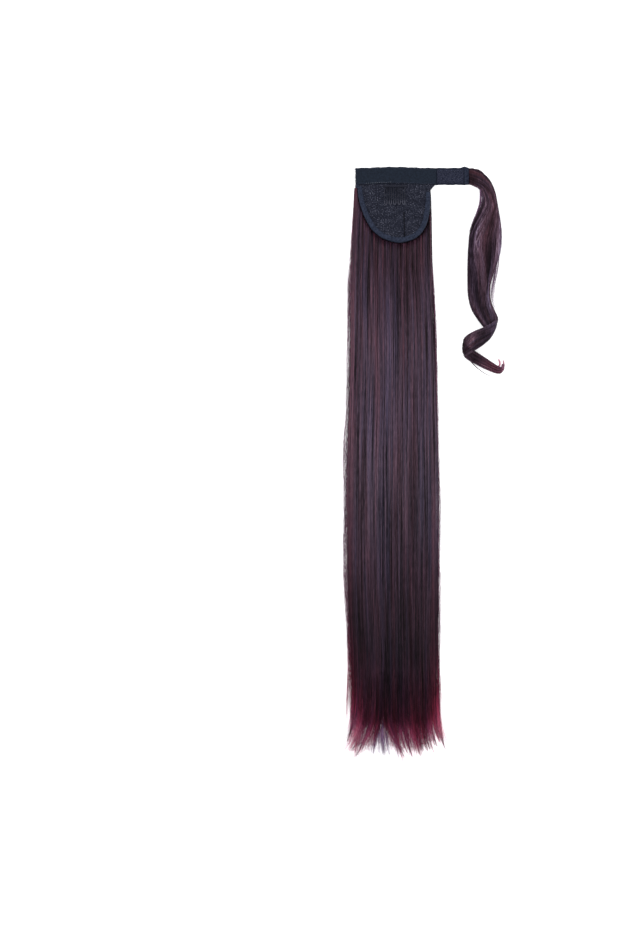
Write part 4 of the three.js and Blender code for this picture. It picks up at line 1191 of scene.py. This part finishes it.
# Loose wisps: the pixels that each passes, how many fibres, half its width in millimetres at its
# start and end, its height at its start, and how light it is, its dye and its tint.
WISPS = [
    ([(497, 258), (494.5, 276), (491.8, 290), (492, 300), (495, 309)], 24, 0.7, 1.0, 5.0, 0.85, 0.3, 0.9),
    ([(499, 250), (497.5, 268), (494, 285), (493.5, 300), (497, 312)], 16, 0.6, 1.2, 5.0, 0.9, 0.3, 0.9),
    (
        [(470, 360.5), (475, 366), (481.4, 371.2), (487, 374.6), (492, 376.6)],
        *(60, 0.4, 0.1, 2.5, 0.1, 0.6, 0.4),
    ),
    ([(500, 369), (503.5, 366.5), (503.8, 362), (502, 358)], 30, 0.9, 1.6, 1.5, 0.9, 0.98, 0.5),
    ([(498, 368), (500, 364), (499, 360), (497.5, 358)], 26, 0.8, 1.4, 1.2, 0.9, 0.98, 0.5),
    (
        [(480.2, 190), (480.4, 198), (479.4, 206), (476.6, 214), (472.6, 223), (469, 233)],
        *(90, 0.9, 1.3, 5.0, 0.9, 0.3, 0.9),
    ),
    ([(349.5, 545), (349.4, 600), (349.6, 660), (349.4, 722)], 26, 3.0, 3.6, 2.0, 0.8, 0.85, 0.4),
    ([(349, 625), (348, 680), (346.6, 712), (345.8, 746)], 16, 2.2, 2.4, 2.0, 0.75, 0.92, 0.3),
    ([(352, 560), (351.0, 620), (350.5, 690), (350.3, 735)], 24, 2.6, 3.2, 2.5, 0.6, 0.9, 0.3),
    ([(385, 718), (383, 733), (384, 746), (386, 758)], 170, 6.0, 11.0, 1.0, 0.9, 0.5, 0.95),
    ([(379, 722), (376, 735), (373, 746), (371, 757)], 60, 2.5, 6.0, 1.0, 0.9, 0.5, 0.95),
    ([(392, 724), (395, 736), (398, 747), (401, 759)], 60, 2.0, 6.0, 1.0, 0.9, 0.5, 0.95),
    ([(415, 728), (417, 738), (419, 748), (421, 759)], 120, 9.0, 15.0, 1.0, 0.9, 0.9, 0.6),
    ([(360, 730), (358, 740), (356, 750), (354, 758)], 60, 5.0, 9.0, 1.0, 0.9, 0.9, 0.6),
]


def wisps(name):
    """Thin bunches of loose fibres that leave the tail and the lock."""
    share = np.linspace(0, 1, 11)
    bunches = []
    for pixels, count, start, end, height, light, dye, tint in WISPS:
        middle = catmull(on_table(pixels), share * (len(pixels) - 1))
        side = unit(np.gradient(middle, axis=0))[:, ::-1] * (1, -1)
        spread = draw.normal(0, 0.5, (count, 1)) * (start + (end - start) * share)
        spread = spread + 0.25 * min(start, 1.0) * np.sin(share * 9 + vary(count, 0, 6.3))
        lines = middle + spread[..., None] * side
        cut = vary(count, 0.6, 1.0) * share
        x, y = ([np.interp(c, share, line) for c, line in zip(cut, lines[..., i])] for i in (0, 1))
        points = np.dstack([x, y, height * (1 - 0.85 * cut) * vary(count, 0.5, 1.0) + 0.15])
        radius = vary(count, 0.06, 0.13) * taper(share, 1.05, 0.4, 0.4)
        tone = np.clip(light + draw.normal(0, 0.15, (count, 1)), 0, 1) + 0 * share
        bunches.append((points, radius, tone, dye + 0 * radius, tint + 0 * radius))
    strands(name, *(np.concatenate(group) for group in zip(*bunches)), FINE_FIBRE)


def lock_core():
    """The inside of the lock, drawn dark as painted shade: one flat body on each side of its slit."""
    places = np.linspace(0.03, 0.93, 90)[:, None]
    spots = [(0, 0), (0.2, 0.8), (0.5, 1), (0.8, 0.8), (1, 0), (0.8, -0.8), (0.5, -1), (0.2, -0.8)]
    lane, level = np.transpose(spots)
    for i, (low, high, replaced) in enumerate([(0.05, 0.27, ("wrap_lock",)), (0.35, 0.95, ())]):
        rings, _ = lock_points(places + 0 * lane, low + (high - low) * lane, 0.6 * level)
        rings[..., 2] = np.maximum(rings[..., 2], 0.1)
        name = f"lock_under_hair_{i + 1}"
        mesh = sweep(name, rings)
        for layer_name, spot in [("fibre", (0.1, 0.45)), ("uptake", (0.5, 0.5))]:
            layer = mesh.uv_layers.new(name=layer_name)
            layer.data.foreach_set("uv", np.tile(spot, len(mesh.loops)).astype(np.float32))
        place(name, mesh, LOCK_FIBRE, "hair_fibre", *replaced)


band()
band_stitches()
frayed_ends()
hooks()
tail_core()
cap_cloth()
dart_seam()
binding()
ribbon_tuck()
comb()
for side, (low, high) in enumerate([(-1.0, -0.34), (-0.34, 0.34), (0.34, 1.0)]):
    tail_strands(f"tail_strands_{side + 1}", 2050, low, high)
tip_strands("tip_strands", 2400)
edge_strands("edge_strands", 600)
lock_core()
for layer in (1, 2):
    lock_strands(f"lock_strands_{layer}", 700)
slit_strands("slit_strands", 160)
wisps("loose_wisps")
